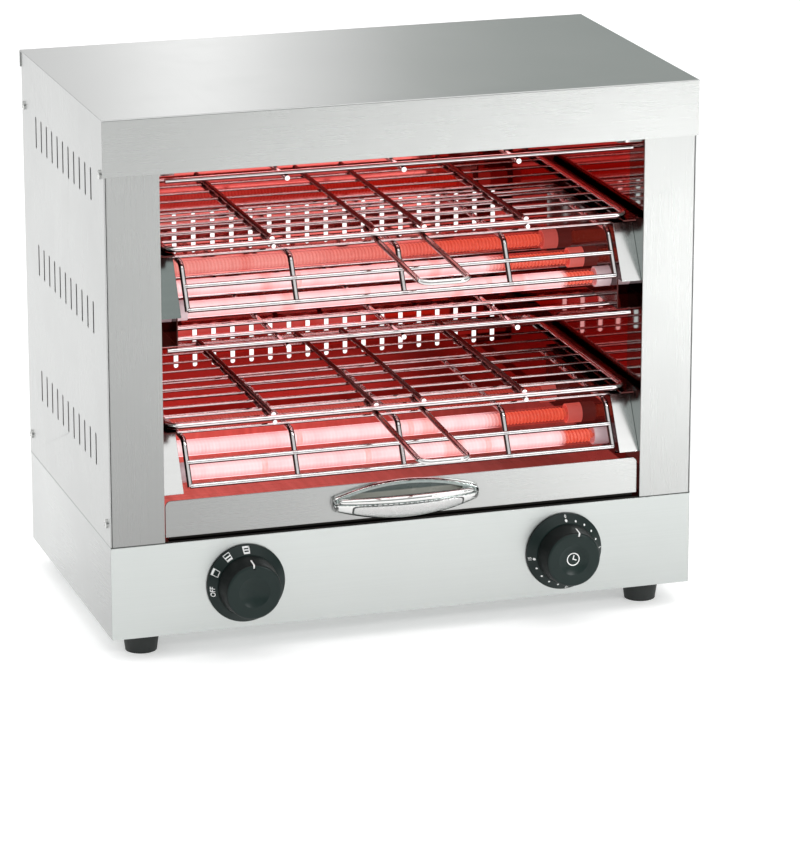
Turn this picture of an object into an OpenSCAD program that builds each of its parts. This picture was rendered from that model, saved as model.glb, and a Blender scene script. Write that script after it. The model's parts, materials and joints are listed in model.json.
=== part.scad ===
// Double-deck quartz toaster. Two sliding toast racks lie between three banks of
// quartz heating tubes, with a crumb tray underneath and a base with two dials.
// Millimetres, +Z up, front towards -Y. The origin is on the floor, under the
// middle of the whole outline, rack handles and cable gland included.

/* [Casing] */
// Width over the side panels
body_w = 440; // [436:1:470]
// Depth from the face of the front posts to the rear panel
body_d = 250; // [244:1:290]
// Height from the underside of the base to the top of the cover
body_h = 380; // [370:1:430]
// Thickness of the casing sheet
sheet_t = 1; // [0.8:0.1:1.5]
// Height of the base box
base_h = 69; // [66:1:80]
// Height of the fascia that hangs from the cover
fascia_h = 41; // [30:1:46]
// How far the cover stands proud of each side panel
cover_lip = 1; // [0.5:0.1:2]
// Width of each front post beside the opening
post_w = 40; // [37:0.5:44]
// Width of the folded fixing flanges
flange_w = 12; // [10:1:14]
// Depth of the fold at the outer edge of each front post
post_return = 18; // [14:1:24]
// Space between the cover and the reflector below it
reflector_drop = 12; // [9:1:14]
// Gap between sheets that slip together
fit_gap = 0.2; // [0.1:0.05:0.3]

/* [Side vents] */
// Slots in each row of a side panel
slot_count = 11; // [5:1:11]
// Rows of slots in a side panel
slot_rows = 3; // [1:1:3]
// Distance between slots
slot_pitch = 16.8; // [12:0.1:17]
// Distance between rows of slots
slot_row_pitch = 97; // [60:1:98]
// Width of a slot
slot_w = 3.4; // [2:0.1:5]
// Length of a slot
slot_l = 24; // [15:1:30]
// Distance from the front edge to the first slot
slot_front = 38; // [30:1:45]
// Distance from the cover's top to the middle of the first row
slot_top = 53.5; // [45:0.5:60]

/* [Rear vents] */
// Slots in each row of the rear panel
rear_columns = 21; // [9:2:23]
// Rows of rear slots
rear_rows = 2; // [1:1:2]
// Width of a rear slot
rear_slot_w = 3.4; // [2:0.1:5]
// Length of a rear slot
rear_slot_l = 31; // [20:1:36]
// Distance between rear slots
rear_pitch_x = 15; // [12:0.5:16]
// Distance between rows of rear slots
rear_row_pitch = 90; // [80:1:110]
// Height of the lower row's middle above the base
rear_rise = 71.5; // [55:0.5:80]

/* [Screws] */
// Radius of a casing screw's shank
screw_r = 1.6; // [1.2:0.1:2]
// Radius of a casing screw's head
screw_head_r = 3.3; // [2.8:0.1:4]
// Height of a casing screw's head
screw_head_h = 2; // [1.5:0.1:2.6]
// Length of a casing screw's shank
screw_l = 8; // [6:0.5:9]
// Distance of the front side screws from the front edge
screw_front = 10; // [7:0.5:12]
// Distance of the rear side screws from the back
screw_rear = 8; // [6:0.5:9]
// Distance of the upper side screws below the cover's top
screw_top = 40.5; // [30:0.5:44]
// Distance of the lower side screws above the base
screw_bottom = 16; // [10:0.5:20]
// Distance of the outer cover screws from the sides
cover_screw_inset = 70; // [50:1:90]
// Distance of the deck screws from the front and the back
deck_screw_inset = 30; // [24:1:40]
// Distance of the base plate's screws from the front and the back
base_screw_inset = 70; // [60:1:90]

/* [Feet] */
// Height of a foot
foot_h = 18; // [10:0.5:20]
// Radius of a foot where it meets the base
foot_top_r = 14; // [12:0.5:16]
// Radius of a foot at the floor
foot_bottom_r = 11.5; // [9:0.5:12]
// Distance of a foot's axis from the base's edges
foot_inset = 28; // [22:1:30]
// Radius of a foot screw
foot_screw_r = 2; // [1.5:0.1:2.5]
// Depth of the pocket that hides the foot screw's head
foot_pocket = 5; // [4:0.5:6]

/* [Heaters] */
// Outer radius of a quartz tube
tube_r = 6; // [5:0.25:6.5]
// Wall of a quartz tube
tube_wall = 1; // [0.8:0.1:1.2]
// Tubes in each bank
tube_count = 3; // [1:1:3]
// Distance between the tubes of a bank
tube_pitch = 58; // [50:1:60]
// Depth of the first tube behind the posts
tube_front = 32; // [30:1:36]
// Radius of the heating coil in a tube
coil_r = 4.2; // [3:0.1:4.4]
// Thickness of the coil's wire
coil_wire = 0.4; // [0.3:0.05:0.8]
// Radius of the pin at each end of a coil
pin_r = 1; // [0.8:0.1:1.2]
// Wall of a ceramic end cap
cap_wall = 1.2; // [1:0.1:1.5]
// Length of a cap that shows in front of its bracket
cap_show = 11; // [8:0.5:14]
// Depth of the socket that holds the tube in a cap
cap_socket = 9; // [6:0.5:10]
// Length of a cap behind the inner wall
cap_stub = 9; // [6:0.5:10]
// Top bank below the cover's top
top_tube_drop = 26; // [23:0.5:27]
// Middle bank below the upper rack
mid_tube_drop = 49.5; // [46:0.5:52]
// Bottom bank below the lower rack
low_tube_drop = 40.5; // [36:0.5:41]
// Distance of the tube brackets from the inner walls
bracket_gap = 15; // [13:0.5:18]
// Height of a bracket's slanted front
bracket_front_h = 39; // [34:0.5:40]
// Depth of a bracket's upper front edge behind the posts
bracket_front = 24; // [23:0.5:28]
// Room behind the last tube in a bracket
bracket_tail = 18; // [12:1:24]
// Depth of a bent bracket's slanted front at its foot
bracket_heel = 10; // [6:0.5:12]

/* [Guards] */
// Radius of the guards' front-to-back wires
guard_wire_r = 2; // [1.5:0.1:2.2]
// Radius of the guards' cross wires
guard_cross_r = 1.8; // [1.2:0.1:2]
// Front-to-back wires in a bent guard
guard_wires = 5; // [3:1:7]
// Distance of a bent guard's outer wires from the inner walls
guard_side = 20; // [18:0.5:30]
// Front-to-back wires of a bent guard below its rack
guard_drop = 12; // [11.6:0.1:14]
// Depth of a bent guard's fold behind the posts
guard_front = 21; // [20:0.5:24]
// How far a bent guard's front comes forward
slant_run = 17; // [14:0.5:18]
// How far a bent guard's front comes down
slant_drop = 31; // [26:0.5:32]
// Radius of a bent guard's fold
guard_bend_r = 7; // [5:0.5:9]
// Length of straight wire behind a bent guard's fold that belongs to its front
guard_join = 0.5; // [0.3:0.1:2]
// Cross wires on the flat part of a bent guard
guard_rows = 7; // [3:1:9]
// Radius of those cross wires
guard_row_r = 1.1; // [0.9:0.1:1.6]
// Distance of a bent guard's wire ends from the brackets' rear edge
guard_tail = 4; // [2:0.5:5]
// Distance of a flat guard's cross wires below their tubes
flat_guard_drop = 22.5; // [20:0.5:24]
// Cross wires in a flat guard
flat_rows = 8; // [4:1:8]
// Distance between a flat guard's cross wires
flat_pitch = 28; // [24:0.5:29]
// Depth of a flat guard's first cross wire behind the posts
flat_front = 9; // [6:0.5:12]
// Distance of a flat guard's outer wires from the inner walls
flat_side = 8; // [6:0.5:12]
// Front-to-back wires in a flat guard
flat_ribs = 3; // [2:1:6]
// How deep welded wires sink into each other
weld = 0.4; // [0.3:0.05:0.6]

/* [Racks] */
// Distance of the middle of a rack's side rods from the inner walls
rack_side = 8; // [6:0.5:10]
// Depth between the middles of its front and rear rods
rack_d = 206; // [190:1:212]
// Depth of the front rod behind the posts
rack_front = 14; // [11:0.5:16]
// Radius of the frame rod
rack_rod_r = 2.2; // [1.8:0.1:2.4]
// Corner radius of the frame, to the middle of the rod
rack_corner_r = 9; // [6:0.5:14]
// Radius of the cross wires
rack_wire_r = 1; // [0.9:0.1:1.6]
// Cross wires between the front and rear rods
rack_wires = 8; // [5:1:12]
// Radius of the ribs on top of the wires
rib_r = 1.8; // [1.4:0.1:2]
// Distance of the outer ribs from the middle
rib_x = 95; // [80:1:110]
// Distance of the inner ribs from the middle
inner_rib_x = 18; // [14:0.5:24]
// Radius of the ribs under the wires
under_rib_r = 1.5; // [1.2:0.1:1.6]
// Height of the lower rack above the base
rack_rise = 82; // [80:0.5:86]
// Height of the upper rack above the lower rack
level_pitch = 129.5; // [127:0.5:134]
// How far a rack handle reaches in front of the posts
handle_reach = 92; // [60:1:110]
// Width of a handle at the rack
handle_root_w = 35; // [30:1:38]
// Width of a handle at its end
handle_end_w = 36; // [30:1:50]
// Radius of the handle wire
handle_wire_r = 2; // [1.6:0.1:2.1]
// Corner radius of the handle, to the middle of the wire
handle_corner_r = 9; // [6:0.5:12]
// How far the handle runs back under the rack
handle_tail = 27; // [25:1:38]
// Running clearance of the racks and the tray
run_gap = 0.3; // [0.2:0.05:0.5]
// Distance of the rack runners' ends from the front and the back
runner_inset = 8; // [5:0.5:12]

/* [Crumb tray] */
// Thickness of the tray sheet
tray_t = 1; // [0.8:0.1:1.2]
// Height of the tray's rim above its underside
tray_rim = 20; // [18:0.5:24]
// Depth of the tray behind its front plate
tray_d = 232; // [200:1:234]
// Gap between the tray's sides and the inner walls
tray_side_gap = 4; // [3:0.5:6]
// Height of the tray's front plate
tray_front_h = 27; // [24:0.5:27]
// Gap under the front plate
tray_front_gap = 2.3; // [1.5:0.1:2.5]
// Gap beside the front plate
tray_front_side = 1.2; // [1:0.1:3]
// How far the front plate lies behind the posts
tray_recess = 3; // [2:0.5:4]
// Radius of the front plate's upper corners
tray_corner_r = 4; // [3:0.5:9]

/* [Tray pull] */
// Width of the cup-shaped pull
pull_w = 110; // [90:1:130]
// Half of the pull's height, which is also its reach
pull_r = 14.5; // [13:0.25:14.5]
// Radius of the pull at its blunt ends
pull_end_r = 5.5; // [4:0.25:7]
// Wall of the pull
pull_wall = 2.4; // [2:0.1:3]
// Back wall of the pull
pull_back = 1.6; // [1.2:0.1:2.2]
// Height of the rim around the pull's upper half
pull_rim = 4.5; // [3.5:0.25:6]
// Distance of the pull's screws from the middle
pull_screw_x = 46; // [40:0.5:47]

/* [Controls] */
// Distance of each dial from its side of the casing
dial_inset = 99; // [90:1:120]
// Height of the dials above the underside of the base
dial_h = 34; // [33:0.5:36]
// Radius of a dial ring
dial_r = 29; // [26:0.5:31]
// Radius of the hole in a dial ring
dial_hole_r = 12; // [10:0.5:14]
// Thickness of a dial ring at its edge
dial_edge = 2; // [1:0.1:3]
// Height of a dial ring at its inner shoulder
dial_rise = 7; // [5:0.25:8]
// Radius of the inner shoulder
dial_shoulder_r = 23; // [21:0.5:25]
// Radius of a knob at its foot
knob_foot_r = 22.25; // [20:0.25:24]
// Radius of a knob at its face
knob_face_r = 20.5; // [19:0.25:22]
// Height of a knob's face in front of the panel
knob_reach = 24; // [21:0.5:30]
// Rounding of the knob's face edge
knob_round = 2.2; // [2:0.1:3.5]
// Radius of the dish in a knob's face
dish_r = 11.5; // [9:0.25:13]
// Depth of the dish
dish_depth = 2.6; // [1.5:0.1:3.5]
// Width of the pointer groove
pointer_w = 1.8; // [1.2:0.1:2.4]
// Length of the pointer groove on the knob's face
pointer_l = 3.4; // [2:0.1:6]
// Depth of the pointer groove
pointer_depth = 0.8; // [0.5:0.1:1.2]
// Angle of the selector's pointer, clockwise from the top
selector_angle = 0; // [-96:1:0]
// Angle of the timer's pointer, clockwise from the top
timer_angle = 12; // [0:1:264]
// Radius of the control shafts
shaft_r = 3; // [2.5:0.1:3.5]
// Length of a shaft inside its control
shaft_depth = 20; // [15:1:25]
// Thickness of a knob between its shaft and its dish
knob_wall = 4; // [3:0.5:6]
// Radial clearance of the control shafts
shaft_gap = 0.05; // [0.02:0.01:0.1]
// Radius of the threaded bushings
bushing_r = 5; // [4.5:0.1:6]
// Width of the selector switch
switch_w = 44; // [36:1:50]
// Height of the selector switch
switch_h = 40; // [36:1:44]
// Width of the timer
timer_w = 54; // [44:1:58]
// Height of the timer
timer_h = 48; // [40:1:50]
// Depth of the switch and the timer
control_d = 37; // [33:1:45]

/* [Wiring] */
// Radius of an insulated lead
lead_r = 1.6; // [1.2:0.1:1.8]
// Distance between leads in the side spaces
lead_pitch = 10; // [8:0.5:12]
// Distance of the first lead behind the first tube
lead_offset = 20; // [16:0.5:22]
// Depth of a lead's socket in a terminal block
lead_socket = 8; // [6:0.5:10]
// Depth of a control lead's socket in a terminal block
plug_socket = 3; // [2:0.5:4]
// Height of the first control lead above the base plate
lead_rise = 15; // [12:0.5:17]
// Height between the control leads
lead_step = 4.5; // [4:0.25:5]
// Bend radius of a control lead
lead_bend = 6; // [5:0.5:8]
// Distance of the control leads in front of the controls' backs
lead_turn = 12; // [8:0.5:14]
// Thickness of a bus bar
bus_t = 1.2; // [1:0.1:2]
// Free length of a coil's pin on each side of its bus bar
pin_free = 3; // [2:0.5:4]
// Height of a bus bar
bus_h = 10; // [8:0.5:14]
// Width of a terminal block
block_w = 14; // [12:0.5:15]
// Depth of a terminal block
block_d = 36; // [34:1:40]
// Height of a terminal block
block_h = 28; // [26:0.5:30]
// Distance of the cable gland from the right side
gland_inset = 55; // [45:1:70]
// Height of the gland above the underside of the base
gland_h = 30; // [26:0.5:34]
// Radius of the gland's cable hole
gland_bore_r = 4.25; // [3:0.25:5]
// Radius of the gland's thread
gland_r = 8; // [7:0.25:9]
// Radius of the gland's cap
gland_cap_r = 11; // [10:0.25:13]
// How far the gland stands out of the base
gland_reach = 18; // [12:0.5:24]

/* [Hidden] */
$fn = 64;

// Heights
z_base = foot_h;
z_base_top = z_base + base_h;
z_deck = z_base_top + sheet_t;
z_top = z_base + body_h;
z_fascia = z_top - fascia_h;
z_inside_top = z_top - 2 * sheet_t - fit_gap;
z_reflector = z_top - reflector_drop;
z_lower_rack = z_base_top + rack_rise;
z_upper_rack = z_lower_rack + level_pitch;
z_low_tubes = z_lower_rack - low_tube_drop;
z_mid_tubes = z_upper_rack - mid_tube_drop;
z_top_tubes = z_top - top_tube_drop;
tube_levels = [z_low_tubes, z_mid_tubes, z_top_tubes];
z_top_guard = z_top_tubes - flat_guard_drop;
z_mid_flat_guard = z_mid_tubes - flat_guard_drop;
z_dial = z_base + dial_h;
z_tray_front = z_deck + tray_front_gap;
z_pull = z_tray_front + tray_front_h / 2;
z_gland = z_base + gland_h;

// Widths
half_w = body_w / 2;
cover_half = half_w + cover_lip;
inner_half = half_w - sheet_t;
post_edge = inner_half - fit_gap;
deck_half = post_edge - sheet_t - fit_gap;
opening_half = half_w - post_w;
bracket_x = opening_half - bracket_gap;
guard_half = opening_half - guard_side;
rack_half = opening_half - rack_side;
dial_x = half_w - dial_inset;
gland_x = half_w - gland_inset;
touch = 0.05;

// Depths: front_y is the face of the posts, and depth() counts back from it
handle_front = handle_reach + handle_wire_r;
overall_d = handle_front + body_d + gland_reach;
front_y = handle_front - overall_d / 2;
tube_depths = [for (i = [0 : tube_count - 1]) tube_front + i * tube_pitch];
bracket_end = tube_depths[tube_count - 1] + bracket_tail;
slant_angle = atan2(slant_run, slant_drop);
tray_wall_d = tray_recess + sheet_t;

// Bent guards: the fold's angle, the depth where it starts, and the places of the wires
guard_fold = 90 - slant_angle;
fold_cut = guard_bend_r * tan(guard_fold / 2);
fold_d = guard_front + fold_cut;
guard_xs = [for (i = [0 : guard_wires - 1]) guard_half * (2 * i / (guard_wires - 1) - 1)];

// Ends of the control shafts, inside the control and inside the knob
shaft_back = sheet_t + shaft_depth;
shaft_front = dish_depth + knob_wall - knob_reach;

// Rack handle: it lies against the front rod and the thinner first wire, so that it
// droops a little; its legs spread by a small angle, and round knees lead to the end bar
rack_pitch = rack_d / (rack_wires + 1);
handle_tilt = asin((rack_rod_r - rack_wire_r) / rack_pitch);
handle_drop = rack_rod_r + handle_wire_r + touch;
handle_l = (rack_front + handle_reach + handle_drop * sin(handle_tilt)) / cos(handle_tilt);
handle_whole = handle_l + handle_tail;
handle_splay = atan2((handle_end_w - handle_root_w) / 2, handle_whole - handle_corner_r);
handle_leg = (handle_whole - handle_corner_r * (1 + sin(handle_splay))) / cos(handle_splay);
knee_x = handle_root_w / 2 + handle_leg * sin(handle_splay) - handle_corner_r * cos(handle_splay);

// Cup pull: the radius of its long arc, and the half-length of its hollow, clear of the screws
pull_arc = (pow(pull_w / 2, 2) + pow(pull_r - pull_end_r, 2)) / (2 * (pull_r - pull_end_r));
pull_hollow = pull_screw_x - screw_r - 2;

// Heaters
cap_r = tube_r + fit_gap + cap_wall;
cap_hole_r = cap_r + fit_gap;
cap_in = bracket_x - cap_show;
cap_floor = cap_in + cap_socket;
cap_out = opening_half + sheet_t + cap_stub;
bus_x = cap_out + pin_free;
pin_end = bus_x + bus_t + pin_free;

// Wiring
lead_x = bus_x + bus_t + touch + lead_r;
lead_front = tube_front + lead_offset;
block_top = z_base + sheet_t + block_h;
block_front = lead_front - (block_d - 2 * lead_pitch) / 2;

// Screw places
side_screw_depths = [screw_front, body_d - screw_rear];
side_screw_heights = [z_base_top + screw_bottom, z_top - screw_top];
cover_screw_xs = [for (i = [-1.5 : 1.5]) i * (body_w - 2 * cover_screw_inset) / 3];
cover_screw_z = z_top - sheet_t - flange_w / 2;
flange_mid_x = inner_half - flange_w / 2;
deck_screw_depths = [deck_screw_inset, body_d - deck_screw_inset];
base_screw_depths = [base_screw_inset, body_d - base_screw_inset];

// Colours
steel = [0.84, 0.85, 0.85];
polished = [0.72, 0.73, 0.74];
wire_chrome = [0.78, 0.76, 0.75];
dark_plastic = [0.1, 0.12, 0.12];
quartz = [1, 0.72, 0.68];
glowing = [1, 0.35, 0.18];
ceramic = [0.93, 0.88, 0.84];
brass_colour = [0.8, 0.66, 0.35];
lead_colour = [0.75, 0.3, 0.22];

// Place on the Y axis at a depth behind the posts
function depth(d) = front_y + d;

// Box from its lowest to its highest corner
module block(low, high) {
  translate(low) cube(high - low);
}

// Flat outline of (y, z) points, thickened along X
module slab_x(x0, x1) {
  translate([x0, 0, 0]) rotate([90, 0, 90]) linear_extrude(x1 - x0) children();
}

// Flat outline of (x, z) points, thickened along Y between two depths
module slab_y(d0, d1) {
  translate([0, depth(d1), 0]) rotate([90, 0, 0]) linear_extrude(d1 - d0) children();
}

// Round bar along X
module bar_x(x0, x1, d, z, r) {
  translate([x0, depth(d), z]) rotate([0, 90, 0]) cylinder(h = x1 - x0, r = r);
}

// Round bar along Y
module bar_y(x, d0, d1, z, r) {
  translate([x, depth(d1), z]) rotate([90, 0, 0]) cylinder(h = d1 - d0, r = r);
}

// Turned shape whose own +Z points to the front, seated at a depth
module turned(x, d, z) {
  translate([x, depth(d), z]) rotate([90, 0, 0]) children();
}

// Wire in the XY plane: a straight leg up to the X axis, then an arc round to an angle
module wire_bend(angle, bend_r, wire_r, leg) {
  rotate_extrude(angle = angle) translate([bend_r, 0]) circle(wire_r);
  translate([bend_r, 0, 0]) rotate([90, 0, 0]) cylinder(h = leg, r = wire_r);
}

// Wire bend with a second straight leg after its arc, joined by a small swelling
module bent_rod(angle, bend_r, wire_r, leg_in, leg_out) {
  wire_bend(angle, bend_r, wire_r, leg_in);
  rotate([0, 0, angle]) translate([bend_r, 0, 0]) {
    sphere(wire_r + 2 * touch);
    rotate([-90, 0, 0]) cylinder(h = leg_out, r = wire_r);
  }
}

// The same shape on the right and, mirrored, on the left
module both_sides() {
  children();
  mirror([1, 0, 0]) children();
}

// Pan-head screw with its head's seat at the origin and its shank along -Z
module screw(r, head_r, head_h, length) {
  rim = head_h * 0.4;
  cylinder(h = rim, r = head_r);
  translate([0, 0, rim]) cylinder(h = head_h - rim, r1 = head_r, r2 = head_r * 0.6);
  translate([0, 0, -length]) cylinder(h = length, r = r);
}

module casing_screw() {
  screw(screw_r, screw_head_r, screw_head_h, screw_l);
}

// Upright slot with round ends
module slot_outline(l, w) {
  straight = l - w;
  square([w, straight], center = true);
  for (s = [-1, 1]) translate([0, s * straight / 2]) circle(w / 2);
}

// Holes for the side screws, through everything on the right side
module side_screw_holes() {
  for (d = side_screw_depths, z = side_screw_heights)
    bar_x(half_w - 3 * sheet_t - flange_w, half_w + sheet_t, d, z, screw_r + fit_gap);
}

// Folded cover: top, fascia and a flange behind the rear panel
module top_cover() {
  color(steel) difference() {
    union() {
      block([-cover_half, depth(-sheet_t), z_top - sheet_t], [cover_half, depth(body_d + sheet_t), z_top]);
      block([-cover_half, depth(-sheet_t), z_fascia], [cover_half, depth(0), z_top]);
      block([-cover_half, depth(body_d), z_top - sheet_t - flange_w],
            [cover_half, depth(body_d + sheet_t), z_top]);
    }
    cover_screw_holes();
  }
}

module cover_screw_holes() {
  for (x = cover_screw_xs)
    bar_y(x, body_d - 3 * sheet_t, body_d + 2 * sheet_t, cover_screw_z, screw_r + fit_gap);
}

// Side panel with vent slots and an inward flange under the cover
module side_panel() {
  color(steel) difference() {
    union() {
      slab_x(inner_half, half_w) difference() {
        translate([depth(0), z_base_top]) square([body_d, z_top - sheet_t - z_base_top]);
        for (i = [0 : slot_count - 1], j = [0 : slot_rows - 1])
          translate([depth(slot_front + i * slot_pitch), z_top - slot_top - j * slot_row_pitch])
            slot_outline(slot_l, slot_w);
      }
      block([half_w - flange_w, depth(2 * sheet_t), z_top - 2 * sheet_t],
            [half_w, depth(body_d - 2 * sheet_t), z_top - sheet_t]);
    }
    side_screw_holes();
  }
}

module right_side_panel() {
  side_panel();
}

module left_side_panel() {
  mirror([1, 0, 0]) side_panel();
}

// Vented rear panel with a flange folded forward at each side
module rear_panel() {
  color(steel) difference() {
    union() {
      slab_y(body_d - sheet_t, body_d) difference() {
        translate([-post_edge, z_base_top]) square([2 * post_edge, z_inside_top - z_base_top]);
        rear_vents();
      }
      both_sides() block([post_edge - sheet_t, depth(body_d - sheet_t - flange_w), z_deck],
                         [post_edge, depth(body_d - sheet_t), z_inside_top]);
    }
    cover_screw_holes();
    both_sides() side_screw_holes();
  }
}

// Rows of upright slots in the rear panel
module rear_vents() {
  for (i = [0 : rear_columns - 1], j = [0 : rear_rows - 1])
    translate([(i - (rear_columns - 1) / 2) * rear_pitch_x, z_base_top + rear_rise + j * rear_row_pitch])
      slot_outline(rear_slot_l, rear_slot_w);
}

// Front post: a face beside the opening and a fold along the side panel
module front_post() {
  color(steel) difference() {
    union() {
      block([opening_half, depth(0), z_base_top], [post_edge, depth(sheet_t), z_inside_top]);
      block([post_edge - sheet_t, depth(0), z_base_top], [post_edge, depth(post_return), z_inside_top]);
    }
    side_screw_holes();
  }
}

module right_front_post() {
  front_post();
}

module left_front_post() {
  mirror([1, 0, 0]) front_post();
}

// Polished wall of the toasting space, pierced for the tube ends
module inner_wall() {
  color(polished) difference() {
    block([opening_half, depth(sheet_t), z_deck],
          [opening_half + sheet_t, depth(body_d - sheet_t), z_reflector]);
    cap_holes(tube_levels);
  }
}

module right_inner_wall() {
  inner_wall();
}

module left_inner_wall() {
  mirror([1, 0, 0]) inner_wall();
}

// Holes for the end caps on the right side, at the heights given
module cap_holes(heights) {
  for (d = tube_depths, z = heights)
    bar_x(bracket_x - sheet_t, opening_half + 2 * sheet_t, d, z, cap_hole_r);
}

// Sheet above the top bank, lying on the inner walls
module reflector() {
  edge = opening_half + sheet_t;
  color(polished) block([-edge, depth(sheet_t), z_reflector],
                        [edge, depth(body_d - sheet_t), z_reflector + sheet_t]);
}

// Floor of the toasting space, lying on the base's upper flange
module deck() {
  margin = lead_r + 3;
  color(polished) difference() {
    block([-deck_half, depth(sheet_t + fit_gap), z_base_top],
          [deck_half, depth(body_d - sheet_t - fit_gap), z_deck]);
    both_sides() {
      block([lead_x - margin, depth(lead_front - margin), z_base_top - sheet_t],
            [lead_x + margin, depth(lead_front + 2 * lead_pitch + margin), z_deck + sheet_t]);
      deck_screw_holes();
    }
  }
}

module deck_screw_holes() {
  for (d = deck_screw_depths)
    translate([flange_mid_x, depth(d), z_base_top - 2 * sheet_t])
      cylinder(h = 4 * sheet_t, r = screw_r + fit_gap);
}

module base_screw_holes() {
  for (d = base_screw_depths)
    translate([flange_mid_x, depth(d), z_base - sheet_t]) cylinder(h = 4 * sheet_t, r = screw_r + fit_gap);
}

// Base box: control panel, sides and back, with flanges folded in above and below
module base_housing() {
  hole_r = bushing_r + fit_gap;
  in_x = inner_half - flange_w;
  in_d = sheet_t + flange_w;
  color(steel) difference() {
    block([-half_w, depth(0), z_base], [half_w, depth(body_d), z_base_top]);
    block([-inner_half, depth(sheet_t), z_base + 2 * sheet_t],
          [inner_half, depth(body_d - sheet_t), z_base_top - sheet_t]);
    block([-inner_half, depth(sheet_t), z_base - sheet_t],
          [inner_half, depth(body_d - sheet_t), z_base + sheet_t]);
    block([-in_x, depth(in_d), z_base], [in_x, depth(body_d - in_d), z_base_top + sheet_t]);
    for (x = [-dial_x, dial_x]) bar_y(x, -sheet_t, 2 * sheet_t, z_dial, hole_r);
    bar_y(gland_x, body_d - 2 * sheet_t, body_d + sheet_t, z_gland, gland_r + fit_gap);
    both_sides() {
      deck_screw_holes();
      base_screw_holes();
    }
  }
}

// Bottom cover inside the base's edge
module base_plate() {
  x = inner_half - fit_gap;
  d = sheet_t + fit_gap;
  color(steel) difference() {
    block([-x, depth(d), z_base], [x, depth(body_d - d), z_base + sheet_t]);
    both_sides() base_screw_holes();
    at_feet() translate([0, 0, z_base - sheet_t]) cylinder(h = 3 * sheet_t, r = foot_screw_r + fit_gap);
  }
}

// Copies at the four feet
module at_feet() {
  for (s = [-1, 1], d = [foot_inset, body_d - foot_inset])
    translate([s * (half_w - foot_inset), depth(d), 0]) children();
}

module feet() {
  color(dark_plastic) at_feet() difference() {
    cylinder(h = foot_h, r1 = foot_bottom_r, r2 = foot_top_r);
    translate([0, 0, -1]) cylinder(h = foot_pocket + 1, r = 2.5 * foot_screw_r);
    translate([0, 0, -1]) cylinder(h = foot_h + 2, r = foot_screw_r + fit_gap);
  }
}

module foot_screws() {
  length = foot_h - foot_pocket + sheet_t + 6;
  color(polished) at_feet() translate([0, 0, foot_pocket]) mirror([0, 0, 1])
    screw(foot_screw_r, 2 * foot_screw_r, 1.4 * foot_screw_r, length);
}

module foot_nuts() {
  color(polished) at_feet() translate([0, 0, z_base + sheet_t]) difference() {
    cylinder(h = 1.6 * foot_screw_r, r = 2 * foot_screw_r, $fn = 6);
    translate([0, 0, -1]) cylinder(h = 1.6 * foot_screw_r + 2, r = foot_screw_r + touch);
  }
}

// Identical screws of the sides, the cover's back, the deck and the base plate
module casing_screws() {
  color(polished) {
    both_sides() {
      for (d = side_screw_depths, z = side_screw_heights)
        translate([half_w, depth(d), z]) rotate([0, 90, 0]) casing_screw();
      for (d = deck_screw_depths) translate([flange_mid_x, depth(d), z_deck]) casing_screw();
      for (d = base_screw_depths)
        translate([flange_mid_x, depth(d), z_base]) mirror([0, 0, 1]) casing_screw();
    }
    for (x = cover_screw_xs)
      translate([x, depth(body_d + sheet_t), cover_screw_z]) rotate([-90, 0, 0]) casing_screw();
  }
}

// Channel on the right inner wall: a pierced plate with flanges towards the wall
module bent_bracket(z_head, z_foot, tube_z) {
  front_run = bracket_front_h * tan(slant_angle);
  z_toe = z_head - bracket_front_h;
  toe = bracket_front - front_run;
  heel = toe + bracket_heel;
  wall = sheet_t / cos(slant_angle);
  color(polished) difference() {
    union() {
      slab_x(bracket_x, bracket_x + sheet_t) translate([front_y, 0])
        polygon([[bracket_front, z_head], [toe, z_toe], [heel, z_toe], [heel, z_foot],
                 [bracket_end, z_foot], [bracket_end, z_head]]);
      slab_x(bracket_x, opening_half) translate([front_y, 0])
        polygon([[bracket_front, z_head], [toe, z_toe], [toe + wall, z_toe], [bracket_front + wall, z_head]]);
      block([bracket_x, depth(bracket_front), z_head - sheet_t], [opening_half, depth(bracket_end), z_head]);
      block([bracket_x, depth(heel), z_foot], [opening_half, depth(bracket_end), z_foot + sheet_t]);
    }
    cap_holes([tube_z]);
  }
}

// Straight channel of the top bank, from the guard up to the reflector
module top_bracket() {
  z_foot = z_top_guard + guard_cross_r + touch;
  toe = tube_front - cap_r - 8;
  color(polished) difference() {
    union() {
      block([bracket_x, depth(toe), z_foot], [bracket_x + sheet_t, depth(bracket_end), z_reflector]);
      block([bracket_x, depth(toe), z_foot], [opening_half, depth(toe + sheet_t), z_reflector]);
      block([bracket_x, depth(toe), z_foot], [opening_half, depth(bracket_end), z_foot + sheet_t]);
    }
    cap_holes([z_top_tubes]);
  }
}

// Head of a bent bracket, just above its guard's front-to-back wires
function bracket_head(z_rack) = z_rack - guard_drop + 2 * guard_wire_r;

module middle_bracket() {
  bent_bracket(bracket_head(z_upper_rack), z_mid_flat_guard + guard_cross_r + touch, z_mid_tubes);
}

module bottom_bracket() {
  bent_bracket(bracket_head(z_lower_rack), z_low_tubes - cap_r - 2.5, z_low_tubes);
}

module right_top_bracket() {
  top_bracket();
}

module left_top_bracket() {
  mirror([1, 0, 0]) top_bracket();
}

module right_middle_bracket() {
  middle_bracket();
}

module left_middle_bracket() {
  mirror([1, 0, 0]) middle_bracket();
}

module right_bottom_bracket() {
  bottom_bracket();
}

module left_bottom_bracket() {
  mirror([1, 0, 0]) bottom_bracket();
}

// Quartz tubes of one bank
module tubes(z) {
  end = cap_floor - touch;
  color(quartz) for (d = tube_depths) difference() {
    bar_x(-end, end, d, z, tube_r);
    bar_x(-end - 1, end + 1, d, z, tube_r - tube_wall);
  }
}

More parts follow.
